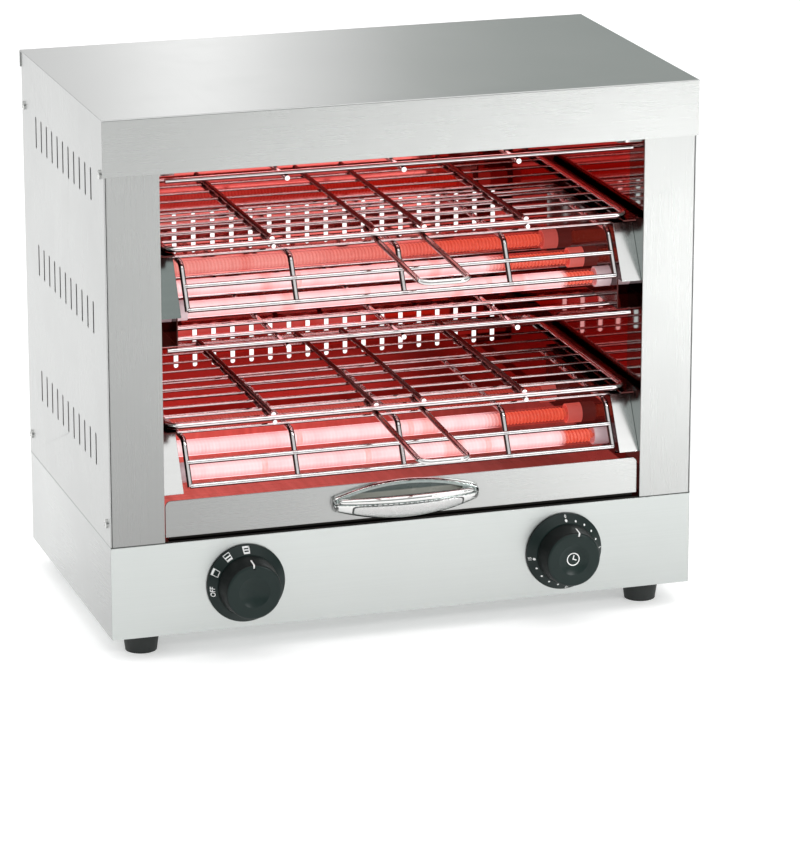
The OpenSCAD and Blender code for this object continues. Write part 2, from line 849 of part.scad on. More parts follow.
// Coils of one bank, as the sleeve that their turns fill, with a bridge and a pin at each end
module coils(z) {
  end = cap_floor - pin_free;
  bridge_l = 4;
  bridge_half = 0.7 * pin_r;
  color(glowing) for (d = tube_depths) {
    difference() {
      bar_x(-end, end, d, z, coil_r);
      bar_x(-end - 1, end + 1, d, z, coil_r - coil_wire);
    }
    both_sides() {
      bar_x(end - bridge_l, pin_end, d, z, pin_r);
      block([end - bridge_l, depth(d - bridge_half), z - coil_r + coil_wire / 2],
            [end, depth(d + bridge_half), z + coil_r - coil_wire / 2]);
    }
  }
}

// Ceramic caps, from inside the chamber out through the wall
module end_caps() {
  neck = 4;
  color(ceramic) both_sides() for (d = tube_depths, z = tube_levels) difference() {
    union() {
      bar_x(cap_in, cap_out - neck, d, z, cap_r);
      bar_x(cap_in, cap_out, d, z, cap_r - 2.5);
    }
    bar_x(cap_in - 1, cap_floor, d, z, tube_r + fit_gap);
    bar_x(cap_in, cap_out + 1, d, z, pin_r + fit_gap);
  }
}

module top_tubes() {
  tubes(z_top_tubes);
}

module middle_tubes() {
  tubes(z_mid_tubes);
}

module bottom_tubes() {
  tubes(z_low_tubes);
}

module top_coils() {
  coils(z_top_tubes);
}

module middle_coils() {
  coils(z_mid_tubes);
}

module bottom_coils() {
  coils(z_low_tubes);
}

// Flat welded grid below a bank: cross wires with ribs under them
module flat_guard(z) {
  half = opening_half - flat_side;
  rib_z = z - 2 * guard_cross_r + weld;
  back = flat_front + (flat_rows - 1) * flat_pitch;
  color(wire_chrome) {
    for (i = [0 : flat_rows - 1])
      bar_x(-half - guard_cross_r, half + guard_cross_r, flat_front + i * flat_pitch, z, guard_cross_r);
    for (i = [0 : flat_ribs - 1])
      bar_y(-half + (i + 1) * 2 * half / (flat_ribs + 1), flat_front - guard_tail, back + guard_tail, rib_z,
            guard_cross_r);
  }
}

// Flat part of a bent guard, over its bank: wires from the fold back, and cross wires on them
module guard_flat(z_rack) {
  z = z_rack - guard_drop;
  cross_z = z + guard_wire_r + guard_row_r - weld;
  first = fold_d + guard_tail;
  step = (bracket_end - 3 * guard_tail - first) / (guard_rows - 1);
  color(wire_chrome) {
    for (x = guard_xs) bar_y(x, fold_d + guard_join + touch, bracket_end - guard_tail, z, guard_wire_r);
    for (i = [0 : guard_rows - 1])
      bar_x(-bracket_x + touch, bracket_x - touch, first + i * step, cross_z, guard_row_r);
  }
}

// Front of a bent guard: the wires fold and slant down, with two cross wires before them
module guard_front_part(z_rack) {
  $fn = 28;
  z = z_rack - guard_drop;
  slant_l = norm([slant_run, slant_drop]) - fold_cut;
  color(wire_chrome) {
    for (x = guard_xs) translate([x, depth(fold_d), z - guard_bend_r]) rotate([90, 0, 90])
      rotate([0, 0, 90]) bent_rod(guard_fold, guard_bend_r, guard_wire_r, guard_join, slant_l);
    for (share = [0.48, 0.97])
      bar_x(-guard_half, guard_half, guard_front - share * slant_run - 1, z - share * slant_drop,
            guard_cross_r);
  }
}

module top_guard() {
  flat_guard(z_top_guard);
}

module middle_lower_guard() {
  flat_guard(z_mid_flat_guard);
}

module middle_upper_guard() {
  guard_flat(z_upper_rack);
}

module middle_guard_front() {
  guard_front_part(z_upper_rack);
}

module bottom_guard() {
  guard_flat(z_lower_rack);
}

module bottom_guard_front() {
  guard_front_part(z_lower_rack);
}

// Angles that carry the side rods of a rack
module runners(z_rack) {
  z_shelf = z_rack - rack_rod_r - run_gap;
  inner = rack_half - 2 * rack_rod_r;
  back = body_d - runner_inset;
  color(polished) both_sides() {
    block([inner, depth(runner_inset), z_shelf - sheet_t], [opening_half, depth(back), z_shelf]);
    block([opening_half - sheet_t, depth(runner_inset), bracket_head(z_rack)],
          [opening_half, depth(back), z_shelf]);
  }
}

module upper_runners() {
  runners(z_upper_rack);
}

module lower_runners() {
  runners(z_lower_rack);
}

// Strips that join the pins of each bank, one at each end
module bus_bars() {
  margin = 8;
  color(brass_colour) both_sides() for (z = tube_levels) difference() {
    block([bus_x, depth(tube_front - margin), z - bus_h / 2],
          [bus_x + bus_t, depth(tube_depths[tube_count - 1] + margin), z + bus_h / 2]);
    for (d = tube_depths) bar_x(bus_x - 1, bus_x + bus_t + 1, d, z, pin_r + touch);
  }
}

// Leads from the bus bars down to the terminal blocks
module heater_leads() {
  color(lead_colour) both_sides() for (i = [0 : 2])
    translate([lead_x, depth(lead_front + i * lead_pitch), block_top - lead_socket])
      cylinder(h = tube_levels[i] + bus_h / 2 - block_top + lead_socket, r = lead_r);
}

// Terminal block on the base plate, with sockets for the leads
module terminal_block() {
  color(ceramic) difference() {
    block([lead_x - block_w / 2, depth(block_front), z_base + sheet_t],
          [lead_x + block_w / 2, depth(block_front + block_d), block_top]);
    for (i = [0 : 2]) {
      translate([lead_x, depth(lead_front + i * lead_pitch), block_top - lead_socket - touch])
        cylinder(h = lead_socket + 1, r = lead_r + touch);
      bar_y(lead_x, block_front - 1, block_front + plug_socket, control_lead_z(i), lead_r + touch);
    }
  }
}

module terminal_blocks() {
  both_sides() terminal_block();
}

// Height of a lead between a terminal block and a control
function control_lead_z(i) = z_base + sheet_t + lead_rise + lead_step * i;

// Lead on the right side from its block forward, round a bend and in to a control
module control_lead(i, x_end) {
  z = control_lead_z(i);
  bend_x = lead_x - lead_bend;
  bend_d = sheet_t + control_d - lead_turn + lead_bend;
  bar_y(lead_x, bend_d, block_front + plug_socket - touch, z, lead_r);
  translate([bend_x, depth(bend_d), z]) rotate([0, 0, -90])
    wire_bend(90, lead_bend, lead_r, bend_x - x_end - touch);
}

// Three leads to the selector switch and two to the timer
module control_leads() {
  color(lead_colour) {
    mirror([1, 0, 0]) for (i = [0 : 2]) control_lead(i, dial_x + switch_w / 2);
    for (i = [0 : 1]) control_lead(i, dial_x + timer_w / 2);
  }
}

// Cable gland through the back of the base, with an open bore
module cable_gland() {
  tail = 14;
  collar = 6;
  color(dark_plastic) difference() {
    union() {
      bar_y(gland_x, body_d - tail, body_d + gland_reach, z_gland, gland_r);
      bar_y(gland_x, body_d, body_d + collar, z_gland, gland_cap_r);
      translate([gland_x, depth(body_d + collar), z_gland]) rotate([-90, 0, 0])
        cylinder(h = gland_reach - collar, r1 = gland_cap_r, r2 = gland_r);
    }
    bar_y(gland_x, body_d - tail - 1, body_d + gland_reach + 1, z_gland, gland_bore_r);
  }
}

module gland_nut() {
  nut_h = 5;
  color(dark_plastic) difference() {
    translate([gland_x, depth(body_d - sheet_t), z_gland]) rotate([90, 0, 0])
      cylinder(h = nut_h, r = gland_r + 4, $fn = 6);
    bar_y(gland_x, body_d - sheet_t - nut_h - 1, body_d, z_gland, gland_r + touch);
  }
}

// Body behind the panel with a bushing through it
module control_body(x, w, h) {
  difference() {
    union() {
      block([x - w / 2, depth(sheet_t), z_dial - h / 2],
            [x + w / 2, depth(sheet_t + control_d), z_dial + h / 2]);
      bar_y(x, -5, sheet_t + 1, z_dial, bushing_r);
    }
    bar_y(x, -6, shaft_back + 0.5, z_dial, shaft_r + shaft_gap);
  }
}

module selector_switch() {
  color(ceramic) control_body(-dial_x, switch_w, switch_h);
}

module timer() {
  color(polished) control_body(dial_x, timer_w, timer_h);
}

// Nuts that clamp the bushings to the panel
module control_nuts() {
  nut_h = 3;
  color(polished) for (x = [-dial_x, dial_x]) turned(x, 0, z_dial) difference() {
    cylinder(h = nut_h, r = bushing_r + 3.5, $fn = 6);
    translate([0, 0, -1]) cylinder(h = nut_h + 2, r = bushing_r + touch);
  }
}

// Fixed ring behind a knob, a shallow cone that carries the scale
module dial_ring(x) {
  color(dark_plastic) turned(x, 0, z_dial) rotate_extrude()
    polygon([[dial_hole_r, 0], [dial_r, 0], [dial_r, dial_edge], [dial_shoulder_r, dial_rise],
             [dial_hole_r, dial_rise]]);
}

module selector_ring() {
  dial_ring(-dial_x);
}

module timer_ring() {
  dial_ring(dial_x);
}

// Half outline of a knob: tapered body with a round face edge and a dished face
module knob_outline() {
  foot = dial_rise + 0.5;
  shoulder = knob_reach - knob_round;
  lip = knob_face_r - knob_round;
  bowl_r = (dish_r * dish_r + dish_depth * dish_depth) / (2 * dish_depth);
  difference() {
    union() {
      polygon([[0, foot], [knob_foot_r, foot], [knob_face_r, shoulder], [lip, shoulder],
               [lip, knob_reach], [0, knob_reach]]);
      translate([lip, shoulder]) circle(knob_round);
    }
    translate([0, knob_reach - dish_depth + bowl_r]) circle(bowl_r, $fn = 128);
    translate([-knob_foot_r, 0]) square([knob_foot_r, 3 * knob_reach]);
  }
}

// Knob with a blind hole for its shaft and a groove as its pointer
module knob(x, angle) {
  turned(x, 0, z_dial) difference() {
    rotate_extrude() knob_outline();
    cylinder(h = -shaft_front + touch, r = shaft_r + touch);
    rotate([0, 0, -angle]) translate([-pointer_w / 2, knob_face_r - pointer_l, knob_reach - pointer_depth])
      cube([pointer_w, knob_foot_r, knob_round]);
  }
}

module selector_knob() {
  color(dark_plastic) knob(-dial_x, selector_angle);
}

module timer_knob() {
  color(dark_plastic) knob(dial_x, timer_angle);
}

// Shaft between a control and its knob
module shaft(x) {
  color(polished) bar_y(x, shaft_front, shaft_back, z_dial, shaft_r);
}

module selector_shaft() {
  shaft(-dial_x);
}

module timer_shaft() {
  shaft(dial_x);
}

// Rounded frame of a rack, swept by one rod
module rack_frame(z) {
  half = rack_half;
  mid = rack_front + rack_d / 2;
  bar_x(-half + rack_corner_r, half - rack_corner_r, rack_front, z, rack_rod_r);
  bar_x(-half + rack_corner_r, half - rack_corner_r, rack_front + rack_d, z, rack_rod_r);
  translate([0, depth(mid), z]) for (sx = [0, 1], sy = [0, 1])
    mirror([sx, 0, 0]) mirror([0, sy, 0])
      translate([half - rack_corner_r, rack_d / 2 - rack_corner_r, 0])
        wire_bend(90, rack_corner_r, rack_rod_r, rack_d / 2 - rack_corner_r);
}

// Toast rack: frame, cross wires, ribs over them and two ribs under them
module rack(z) {
  over = z + rack_wire_r + rib_r - weld;
  under = z - rack_wire_r - under_rib_r + weld;
  back = rack_front + rack_d;
  color(wire_chrome) {
    rack_frame(z);
    for (i = [1 : rack_wires]) bar_x(-rack_half, rack_half, rack_front + i * rack_pitch, z, rack_wire_r);
    for (x = [-rib_x, -inner_rib_x, inner_rib_x, rib_x]) bar_y(x, rack_front, back, over, rib_r);
    for (x = [-rib_x, rib_x]) bar_y(x, rack_front - 4, back, under, under_rib_r);
  }
}

// Handle of a rack: a bent wire whose legs lie under the front rod and the first cross wire
module rack_handle(z_rack) {
  color(wire_chrome) translate([0, depth(rack_front), z_rack]) rotate([handle_tilt, 0, 0])
    both_sides() translate([knee_x, handle_corner_r - handle_l, -handle_drop]) rotate([0, 0, -90])
      bent_rod(90 + handle_splay, handle_corner_r, handle_wire_r, knee_x, handle_leg);
}

module upper_rack() {
  rack(z_upper_rack);
}

module lower_rack() {
  rack(z_lower_rack);
}

module upper_rack_handle() {
  rack_handle(z_upper_rack);
}

module lower_rack_handle() {
  rack_handle(z_lower_rack);
}

// Holes for the pull's screws, through the pull, the plate and the pan
module pull_screw_holes() {
  for (x = [-pull_screw_x, pull_screw_x])
    bar_y(x, tray_recess - 3, tray_wall_d + 2 * tray_t, z_pull, screw_r + touch);
}

// Open pan that slides on the deck
module crumb_tray() {
  half = opening_half - tray_side_gap;
  z = z_deck + run_gap;
  back = tray_wall_d + tray_d;
  color(polished) difference() {
    block([-half, depth(tray_wall_d), z], [half, depth(back), z + tray_rim]);
    block([-half + tray_t, depth(tray_wall_d + tray_t), z + tray_t],
          [half - tray_t, depth(back - tray_t), z + tray_rim + 1]);
    pull_screw_holes();
  }
}

// Front plate of the tray with round upper corners
module tray_front() {
  half = opening_half - tray_front_side;
  low = z_tray_front;
  shoulder = z_tray_front + tray_front_h - tray_corner_r;
  color(steel) difference() {
    slab_y(tray_recess, tray_wall_d) {
      translate([-half, low]) square([2 * half, tray_front_h - tray_corner_r]);
      translate([-half + tray_corner_r, low]) square([2 * (half - tray_corner_r), tray_front_h]);
      for (s = [-1, 1]) translate([s * (half - tray_corner_r), shoulder]) circle(tray_corner_r);
    }
    pull_screw_holes();
  }
}

// Pointed oval body, turned about X
module spindle(arc_r, r) {
  half_l = sqrt(2 * r * arc_r - r * r);
  rotate([0, 90, 0]) rotate_extrude($fn = 96) intersection() {
    translate([r - arc_r, 0]) circle(arc_r, $fn = 180);
    translate([0, -half_l]) square([r, 2 * half_l]);
  }
}

// Cup pull: half a spindle, hollowed, with its upper front cut away for the fingers
module tray_pull() {
  reach = pull_r + 1;
  color(polished) difference() {
    intersection() {
      translate([0, depth(tray_recess), z_pull]) spindle(pull_arc, pull_r);
      block([-pull_w / 2, depth(tray_recess - reach), z_pull - reach],
            [pull_w / 2, depth(tray_recess), z_pull + reach]);
    }
    intersection() {
      translate([0, depth(tray_recess), z_pull]) spindle(pull_arc, pull_r - pull_wall);
      block([-pull_hollow, depth(tray_recess - reach), z_pull - reach],
            [pull_hollow, depth(tray_recess - pull_back), z_pull + reach]);
    }
    block([-pull_w, depth(tray_recess - reach), z_pull + 1],
          [pull_w, depth(tray_recess - pull_rim), z_pull + reach]);
    pull_screw_holes();
  }
}

module pull_screws() {
  length = sheet_t + tray_t + 2.5;
  color(polished) for (x = [-pull_screw_x, pull_screw_x])
    translate([x, depth(tray_wall_d + tray_t), z_pull]) rotate([-90, 0, 0])
      screw(screw_r, 0.8 * screw_head_r, 0.8 * screw_head_h, length);
}

top_cover();
left_side_panel();
right_side_panel();
rear_panel();
left_front_post();
right_front_post();
left_inner_wall();
right_inner_wall();
reflector();
deck();
base_housing();
base_plate();
feet();
foot_screws();
foot_nuts();
casing_screws();
left_top_bracket();
right_top_bracket();
left_middle_bracket();
right_middle_bracket();
left_bottom_bracket();
right_bottom_bracket();
top_tubes();
middle_tubes();
bottom_tubes();
top_coils();
middle_coils();
bottom_coils();
end_caps();
top_guard();
middle_upper_guard();
middle_guard_front();
middle_lower_guard();
bottom_guard();
bottom_guard_front();
upper_runners();
lower_runners();
bus_bars();
heater_leads();
terminal_blocks();
control_leads();
cable_gland();
gland_nut();
selector_switch();
timer();
control_nuts();
selector_ring();
timer_ring();
selector_knob();
selector_shaft();
timer_knob();
timer_shaft();
upper_rack();
upper_rack_handle();
lower_rack();
lower_rack_handle();
crumb_tray();
tray_front();
tray_pull();
pull_screws();
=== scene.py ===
"""Looks of the salamander toaster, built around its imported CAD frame. Metres, in the frame's own axes."""
import json
import math

import bmesh
import bpy
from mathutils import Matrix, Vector
from mathutils.bvhtree import BVHTree

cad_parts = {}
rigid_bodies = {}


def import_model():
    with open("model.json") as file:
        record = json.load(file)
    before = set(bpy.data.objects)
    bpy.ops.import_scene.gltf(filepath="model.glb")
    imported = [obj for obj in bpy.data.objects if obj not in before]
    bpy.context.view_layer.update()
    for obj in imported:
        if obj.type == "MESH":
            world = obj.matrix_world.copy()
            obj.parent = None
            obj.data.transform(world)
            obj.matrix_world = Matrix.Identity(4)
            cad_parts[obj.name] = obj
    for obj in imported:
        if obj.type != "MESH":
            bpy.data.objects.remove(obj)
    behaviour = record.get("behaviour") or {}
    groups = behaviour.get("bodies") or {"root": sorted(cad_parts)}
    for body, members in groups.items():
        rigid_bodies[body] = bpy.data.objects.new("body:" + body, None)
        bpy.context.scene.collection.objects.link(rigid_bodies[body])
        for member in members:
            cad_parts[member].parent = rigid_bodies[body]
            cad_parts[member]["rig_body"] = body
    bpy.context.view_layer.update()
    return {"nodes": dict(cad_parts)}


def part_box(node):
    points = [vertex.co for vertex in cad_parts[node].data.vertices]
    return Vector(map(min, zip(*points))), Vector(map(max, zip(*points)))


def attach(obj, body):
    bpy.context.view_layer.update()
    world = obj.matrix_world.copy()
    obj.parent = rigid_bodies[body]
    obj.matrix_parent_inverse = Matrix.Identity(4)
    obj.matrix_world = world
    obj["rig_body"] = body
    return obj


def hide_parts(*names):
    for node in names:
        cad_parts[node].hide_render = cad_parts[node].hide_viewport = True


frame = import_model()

MM = 0.001
FRONT = -0.087
nodes = frame["nodes"]
scene = bpy.context.scene
scene.view_settings.view_transform = "Standard"


def at(x, depth, z):
    """A point given in millimetres: across, behind the front plane, above the floor."""
    return Vector((x * MM, FRONT + depth * MM, z * MM))


# Materials

class Paint:
    """A node material with one Principled shader and short calls for its inputs."""

    def __init__(self, name, **values):
        self.mat = bpy.data.materials.new(name)
        self.mat.use_nodes = True
        self.tree = self.mat.node_tree
        self.shader = self.tree.nodes["Principled BSDF"]
        for key, value in values.items():
            self.shader.inputs[key.replace("_", " ")].default_value = value
        self.place = self.add("ShaderNodeTexCoord").outputs["Object"]

    def add(self, kind, **settings):
        node = self.tree.nodes.new(kind)
        for key, value in settings.items():
            setattr(node, key, value)
        return node

    def link(self, output, target):
        self.tree.links.new(output, target)

    def noise(self, scale, stretch=(1, 1, 1), detail=3.0, rough=0.55):
        """Noise in the frame's own coordinates, per metre, stretched along an axis by a small factor."""
        mapping = self.add("ShaderNodeMapping")
        mapping.inputs["Scale"].default_value = [scale * s for s in stretch]
        self.link(self.place, mapping.inputs["Vector"])
        node = self.add("ShaderNodeTexNoise")
        node.inputs["Scale"].default_value = 1.0
        node.inputs["Detail"].default_value = detail
        node.inputs["Roughness"].default_value = rough
        self.link(mapping.outputs["Vector"], node.inputs["Vector"])
        return node.outputs["Fac"]

    def ramp(self, value, *stops):
        """Colours or greys along a value: stops are (place, colour or number)."""
        node = self.add("ShaderNodeValToRGB")
        points = node.color_ramp.elements
        while len(points) < len(stops):
            points.new(0.5)
        for point, (place, colour) in zip(points, stops):
            point.position = place
            if isinstance(colour, (int, float)):
                colour = (colour, colour, colour)
            point.color = (*colour, 1.0)
        self.link(value, node.inputs["Fac"])
        return node.outputs["Color"]

    def span(self, value, low, high, new_low, new_high):
        node = self.add("ShaderNodeMapRange")
        for key, number in zip(("From Min", "From Max", "To Min", "To Max"), (low, high, new_low, new_high)):
            node.inputs[key].default_value = number
        self.link(value, node.inputs["Value"])
        return node.outputs["Result"]

    def math(self, operation, a, b=None):
        node = self.add("ShaderNodeMath", operation=operation)
        for socket, part in zip(node.inputs, (a, b)):
            if isinstance(part, (int, float)):
                socket.default_value = part
            elif part is not None:
                self.link(part, socket)
        return node.outputs["Value"]

    def mix(self, factor, a, b, blend="MIX"):
        node = self.add("ShaderNodeMix", data_type="RGBA", blend_type=blend)
        for socket, part in ((node.inputs[0], factor), (node.inputs[6], a), (node.inputs[7], b)):
            if isinstance(part, (int, float)):
                socket.default_value = part
            elif isinstance(part, tuple):
                socket.default_value = (*part, 1.0)
            else:
                self.link(part, socket)
        return node.outputs[2]

    def axis(self, index):
        node = self.add("ShaderNodeSeparateXYZ")
        self.link(self.place, node.inputs["Vector"])
        return node.outputs[index]

    def facing(self, index):
        """One part of the surface's own normal."""
        node = self.add("ShaderNodeSeparateXYZ")
        self.link(self.add("ShaderNodeNewGeometry").outputs["Normal"], node.inputs["Vector"])
        return node.outputs[index]

    def inside(self):
        """0 in front of the casing, 1 inside it, where the glow's light is painted on, wherever the piece has been
        moved to.
        """
        node = self.add("ShaderNodeSeparateXYZ")
        self.link(self.add("ShaderNodeNewGeometry").outputs["Position"], node.inputs["Vector"])
        return self.span(node.outputs[1], FRONT + 4 * MM, FRONT + 20 * MM, 0.0, 1.0)

    def near(self, value, places, reach):
        """1 where a value lies within reach of one of some places, else 0."""
        total = None
        for place in places:
            hit = self.math("LESS_THAN", self.math("ABSOLUTE", self.math("SUBTRACT", value, place)), reach)
            total = hit if total is None else self.math("MAXIMUM", total, hit)
        return total

    def set(self, key, output):
        self.link(output, self.shader.inputs[key])

    def bump(self, height, strength, distance):
        node = self.add("ShaderNodeBump")
        node.inputs["Strength"].default_value = strength
        node.inputs["Distance"].default_value = distance
        self.link(height, node.inputs["Height"])
        self.set("Normal", node.outputs["Normal"])


def brushed(name, stretch, dark, light, rough, wave=0.03, line=0.95, painted_light_ramp=None, seam=None):
    """Brushed or polished stainless sheet: fine lines along one axis, a slow change of tone, and faint smears.
    painted_light_ramp is (axis, from, to, first shade, last shade): light and shade painted as a gradient along that
    axis; seam is a height in millimetres, and below it a joint line is dark."""
    p = Paint(name, Metallic=1.0)
    lines = p.noise(1.0, stretch, 4.0, 0.6)
    clouds = p.noise(6.0, (1, 1, 1), 2.0)
    smears = p.noise(24.0, (1, 1, 1), 3.0)
    tone = p.ramp(clouds, (0.3, dark), (0.7, light))
    grey = p.ramp(lines, (0.25, line), (0.75, 1.0))
    tone = p.mix(1.0, tone, grey, "MULTIPLY")
    # Painted light: the tone is multiplied by a gradient of shade along one axis, as light falls across the sheet.
    if painted_light_ramp:
        axis, first, last, shade, other = painted_light_ramp
        along = p.span(p.axis(axis), first, last, 0.0, 1.0)
        tone = p.mix(1.0, tone, p.ramp(along, (0.0, shade), (1.0, other)), "MULTIPLY")
    if seam:
        tone = p.mix(p.math("LESS_THAN", p.axis(2), seam * MM), tone, SEAM_DARK)
    p.set("Base Color", tone)
    p.set("Roughness", p.math("ADD", p.span(lines, 0.25, 0.75, rough * 0.9, rough * 1.1),
                              p.span(smears, 0.45, 0.75, 0.0, rough * 0.12)))
    p.bump(lines, wave, 0.0001)
    return p.mat


def wire_metal(name, dark, light, rough):
    """Bright drawn wire with faint draw marks."""
    p = Paint(name, Metallic=1.0)
    spots = p.noise(260.0, (1, 1, 1), 4.0)
    p.set("Base Color", p.ramp(spots, (0.3, dark), (0.7, light)))
    p.set("Roughness", p.span(spots, 0.3, 0.7, rough * 0.7, rough * 1.3))
    p.bump(p.noise(2200.0, (1, 1, 1), 2.0), 0.05, 0.0001)
    return p.mat


def moulded(name, dark, light, rough, grain=2600.0, strength=0.1):
    """Moulded plastic, rubber or print with a fine grain."""
    p = Paint(name, Specular_IOR_Level=0.5)
    clouds = p.noise(55.0, (1, 1, 1), 3.0)
    p.set("Base Color", p.ramp(clouds, (0.3, dark), (0.7, light)))
    p.set("Roughness", p.span(clouds, 0.3, 0.7, rough - 0.05, rough + 0.05))
    p.bump(p.noise(grain, (1, 1, 1), 3.0), strength, 0.0001)
    return p.mat


STEEL_DARK, STEEL_LIGHT = (0.485, 0.493, 0.485), (0.515, 0.523, 0.514)
# Painted light: the inside steel's red is the heaters' glow painted into its colour.
GLOW_TINT_DARK, GLOW_TINT_LIGHT = (0.42, 0.082, 0.074), (0.54, 0.115, 0.102)
RIBS_FROM = 18
BLACK = (0.0, 0.0, 0.0)
SEAM, SEAM_DARK = 87.8, (0.10, 0.105, 0.10)
ACROSS, DEEP, UPRIGHT, POLISHED = (9, 1400, 1400), (1400, 9, 1400), (1400, 1400, 9), (9, 300, 300)
# Painted light: these are one stainless in lit and shaded copies, painted lighter or darker for each part (front,
# tray front, posts, sides, top, base) and with painted gradients of light across them.
steel_x = brushed("steel_brushed_across", ACROSS, STEEL_DARK, STEEL_LIGHT, 0.28,
                  painted_light_ramp=(0, -0.2, 0.2, 0.79, 1.0))
steel_tray = brushed("steel_brushed_tray", ACROSS, STEEL_DARK, STEEL_LIGHT, 0.28,
                     painted_light_ramp=(0, -0.16, 0.16, 0.62, 0.97))
steel_left = brushed("steel_brushed_left_post", UPRIGHT, STEEL_DARK, STEEL_LIGHT, 0.28,
                     painted_light_ramp=(2, 0.09, 0.35, 0.59, 0.74), seam=SEAM)
steel_right = brushed("steel_brushed_right_post", UPRIGHT, STEEL_DARK, STEEL_LIGHT, 0.28,
                      painted_light_ramp=(2, 0.09, 0.35, 0.84, 0.92), seam=SEAM)
steel_side = brushed("steel_brushed_side", UPRIGHT, (0.425, 0.432, 0.427), (0.455, 0.462, 0.456), 0.28,
                     painted_light_ramp=(1, -0.08, 0.06, 0.93, 1.0), seam=SEAM)
steel_top = brushed("steel_brushed_top", DEEP, (0.385, 0.392, 0.386), (0.413, 0.42, 0.413), 0.17, 0.02, 0.97)
steel_base = brushed("steel_brushed_base", ACROSS, (0.528, 0.556, 0.543), (0.55, 0.577, 0.564), 0.30,
                     painted_light_ramp=(0, -0.05, 0.22, 1.0, 0.86))
steel_base_side = brushed("steel_brushed_base_side", DEEP, (0.485, 0.494, 0.489), (0.515, 0.523, 0.518), 0.28,
                          painted_light_ramp=(1, -0.087, 0.09, 0.78, 1.0))
# Painted light and shade: the brackets' polished steel in a lit copy, painted bright, and a shaded copy, painted dark
# grey-green.
lit_sheet = brushed("steel_polished_painted_light", POLISHED, (0.74, 0.75, 0.74), (0.80, 0.80, 0.79), 0.20, 0.02)
shade_sheet = brushed("steel_polished_shade", POLISHED, (0.17, 0.20, 0.19), (0.23, 0.26, 0.25), 0.16, 0.02)
bright_metal = wire_metal("fastener_metal", (0.52, 0.53, 0.52), (0.62, 0.62, 0.61), 0.24)
pull_chrome = wire_metal("pull_chrome", (0.66, 0.67, 0.66), (0.72, 0.72, 0.71), 0.08)
# Painted shade: the pull's rim is a darker copy of its chrome.
pull_rim = wire_metal("pull_rim_painted_shade_chrome", (0.20, 0.235, 0.225), (0.27, 0.30, 0.29), 0.12)
pull_panel = wire_metal("pull_panel_satin", (0.52, 0.525, 0.52), (0.57, 0.57, 0.565), 0.25)
# Painted shade: the dark of the groove round the pull's plate.
groove_shade = moulded("groove_shade", (0.03, 0.034, 0.033), (0.05, 0.054, 0.053), 0.5)
brass = wire_metal("bus_brass", (0.55, 0.38, 0.14), (0.70, 0.52, 0.22), 0.3)
black_plastic = moulded("black_plastic", (0.012, 0.014, 0.014), (0.022, 0.025, 0.025), 0.45)
foot_rubber = moulded("foot_rubber", (0.008, 0.011, 0.010), (0.016, 0.020, 0.019), 0.62, 1500.0, 0.25)
silicone = moulded("lead_silicone", (0.36, 0.08, 0.05), (0.46, 0.11, 0.07), 0.5)
dial_print = moulded("dial_print", (0.72, 0.74, 0.73), (0.82, 0.83, 0.82), 0.5)


def inside_sheet(name, rough, glow=0.0, shaded_depth=None, dark=(0.014, 0.013, 0.012), under=False, wall=None):
    """Polished sheet painted red as the reflected light of the heaters' glow. It is painted dark as shade in front of
    a depth in millimetres and, if asked, underneath, and grey beyond a wall at an x. One given a glow, a painted red
    glow though it is no lamp, turns plain steel outside the casing."""
    p = Paint(name, Metallic=1.0)
    lines = p.noise(1.0, (6, 420, 420), 4.0, 0.6)
    tone = p.ramp(p.noise(7.0, detail=2.0), (0.3, GLOW_TINT_DARK), (0.7, GLOW_TINT_LIGHT))
    tone = p.mix(1.0, tone, p.ramp(lines, (0.25, 0.86), (0.75, 1.0)), "MULTIPLY")
    # Painted light: a red glow emitted by the sheet itself, fading to the right and dark outside the casing.
    if glow:
        faint, full = ([glow * part for part in colour] for colour in ((0.7, 0.12, 0.10), (1.0, 0.19, 0.165)))
        painted_glow = p.ramp(p.noise(260.0, (1, 0.1, 0.1), 2.0), (0.3, faint), (0.7, full))
        along = p.span(p.axis(0), -0.12, 0.14, 0.0, 1.0)
        painted_glow = p.mix(1.0, painted_glow, p.ramp(along, (0.0, 1.0), (1.0, 0.3)), "MULTIPLY")
        painted_glow = p.mix(p.inside(), BLACK, painted_glow)
        tone = p.mix(p.inside(), (0.55, 0.535, 0.53), tone)
    # Painted shade: dark in front of a depth and on faces that look down.
    shade_masks = []
    if shaded_depth is not None:
        shade_masks.append(p.math("LESS_THAN", p.axis(1), FRONT + shaded_depth * MM))
    if under:
        shade_masks.append(p.math("LESS_THAN", p.facing(2), -0.5))
    for mask in shade_masks:
        tone = p.mix(mask, tone, dark)
        if glow:
            painted_glow = p.mix(mask, painted_glow, BLACK)
    if wall is not None:
        beyond = p.math("GREATER_THAN", p.math("ABSOLUTE", p.axis(0)), wall * MM)
        tone = p.mix(beyond, tone, (0.16, 0.155, 0.15))
    p.set("Base Color", tone)
    if glow:
        p.set("Emission Color", painted_glow)
        p.shader.inputs["Emission Strength"].default_value = 1.0
        p.mat.cycles.emission_sampling = "NONE"
    p.set("Roughness", p.span(lines, 0.25, 0.75, rough * 0.8, rough * 1.2))
    p.bump(lines, 0.015, 0.0001)
    return p.mat


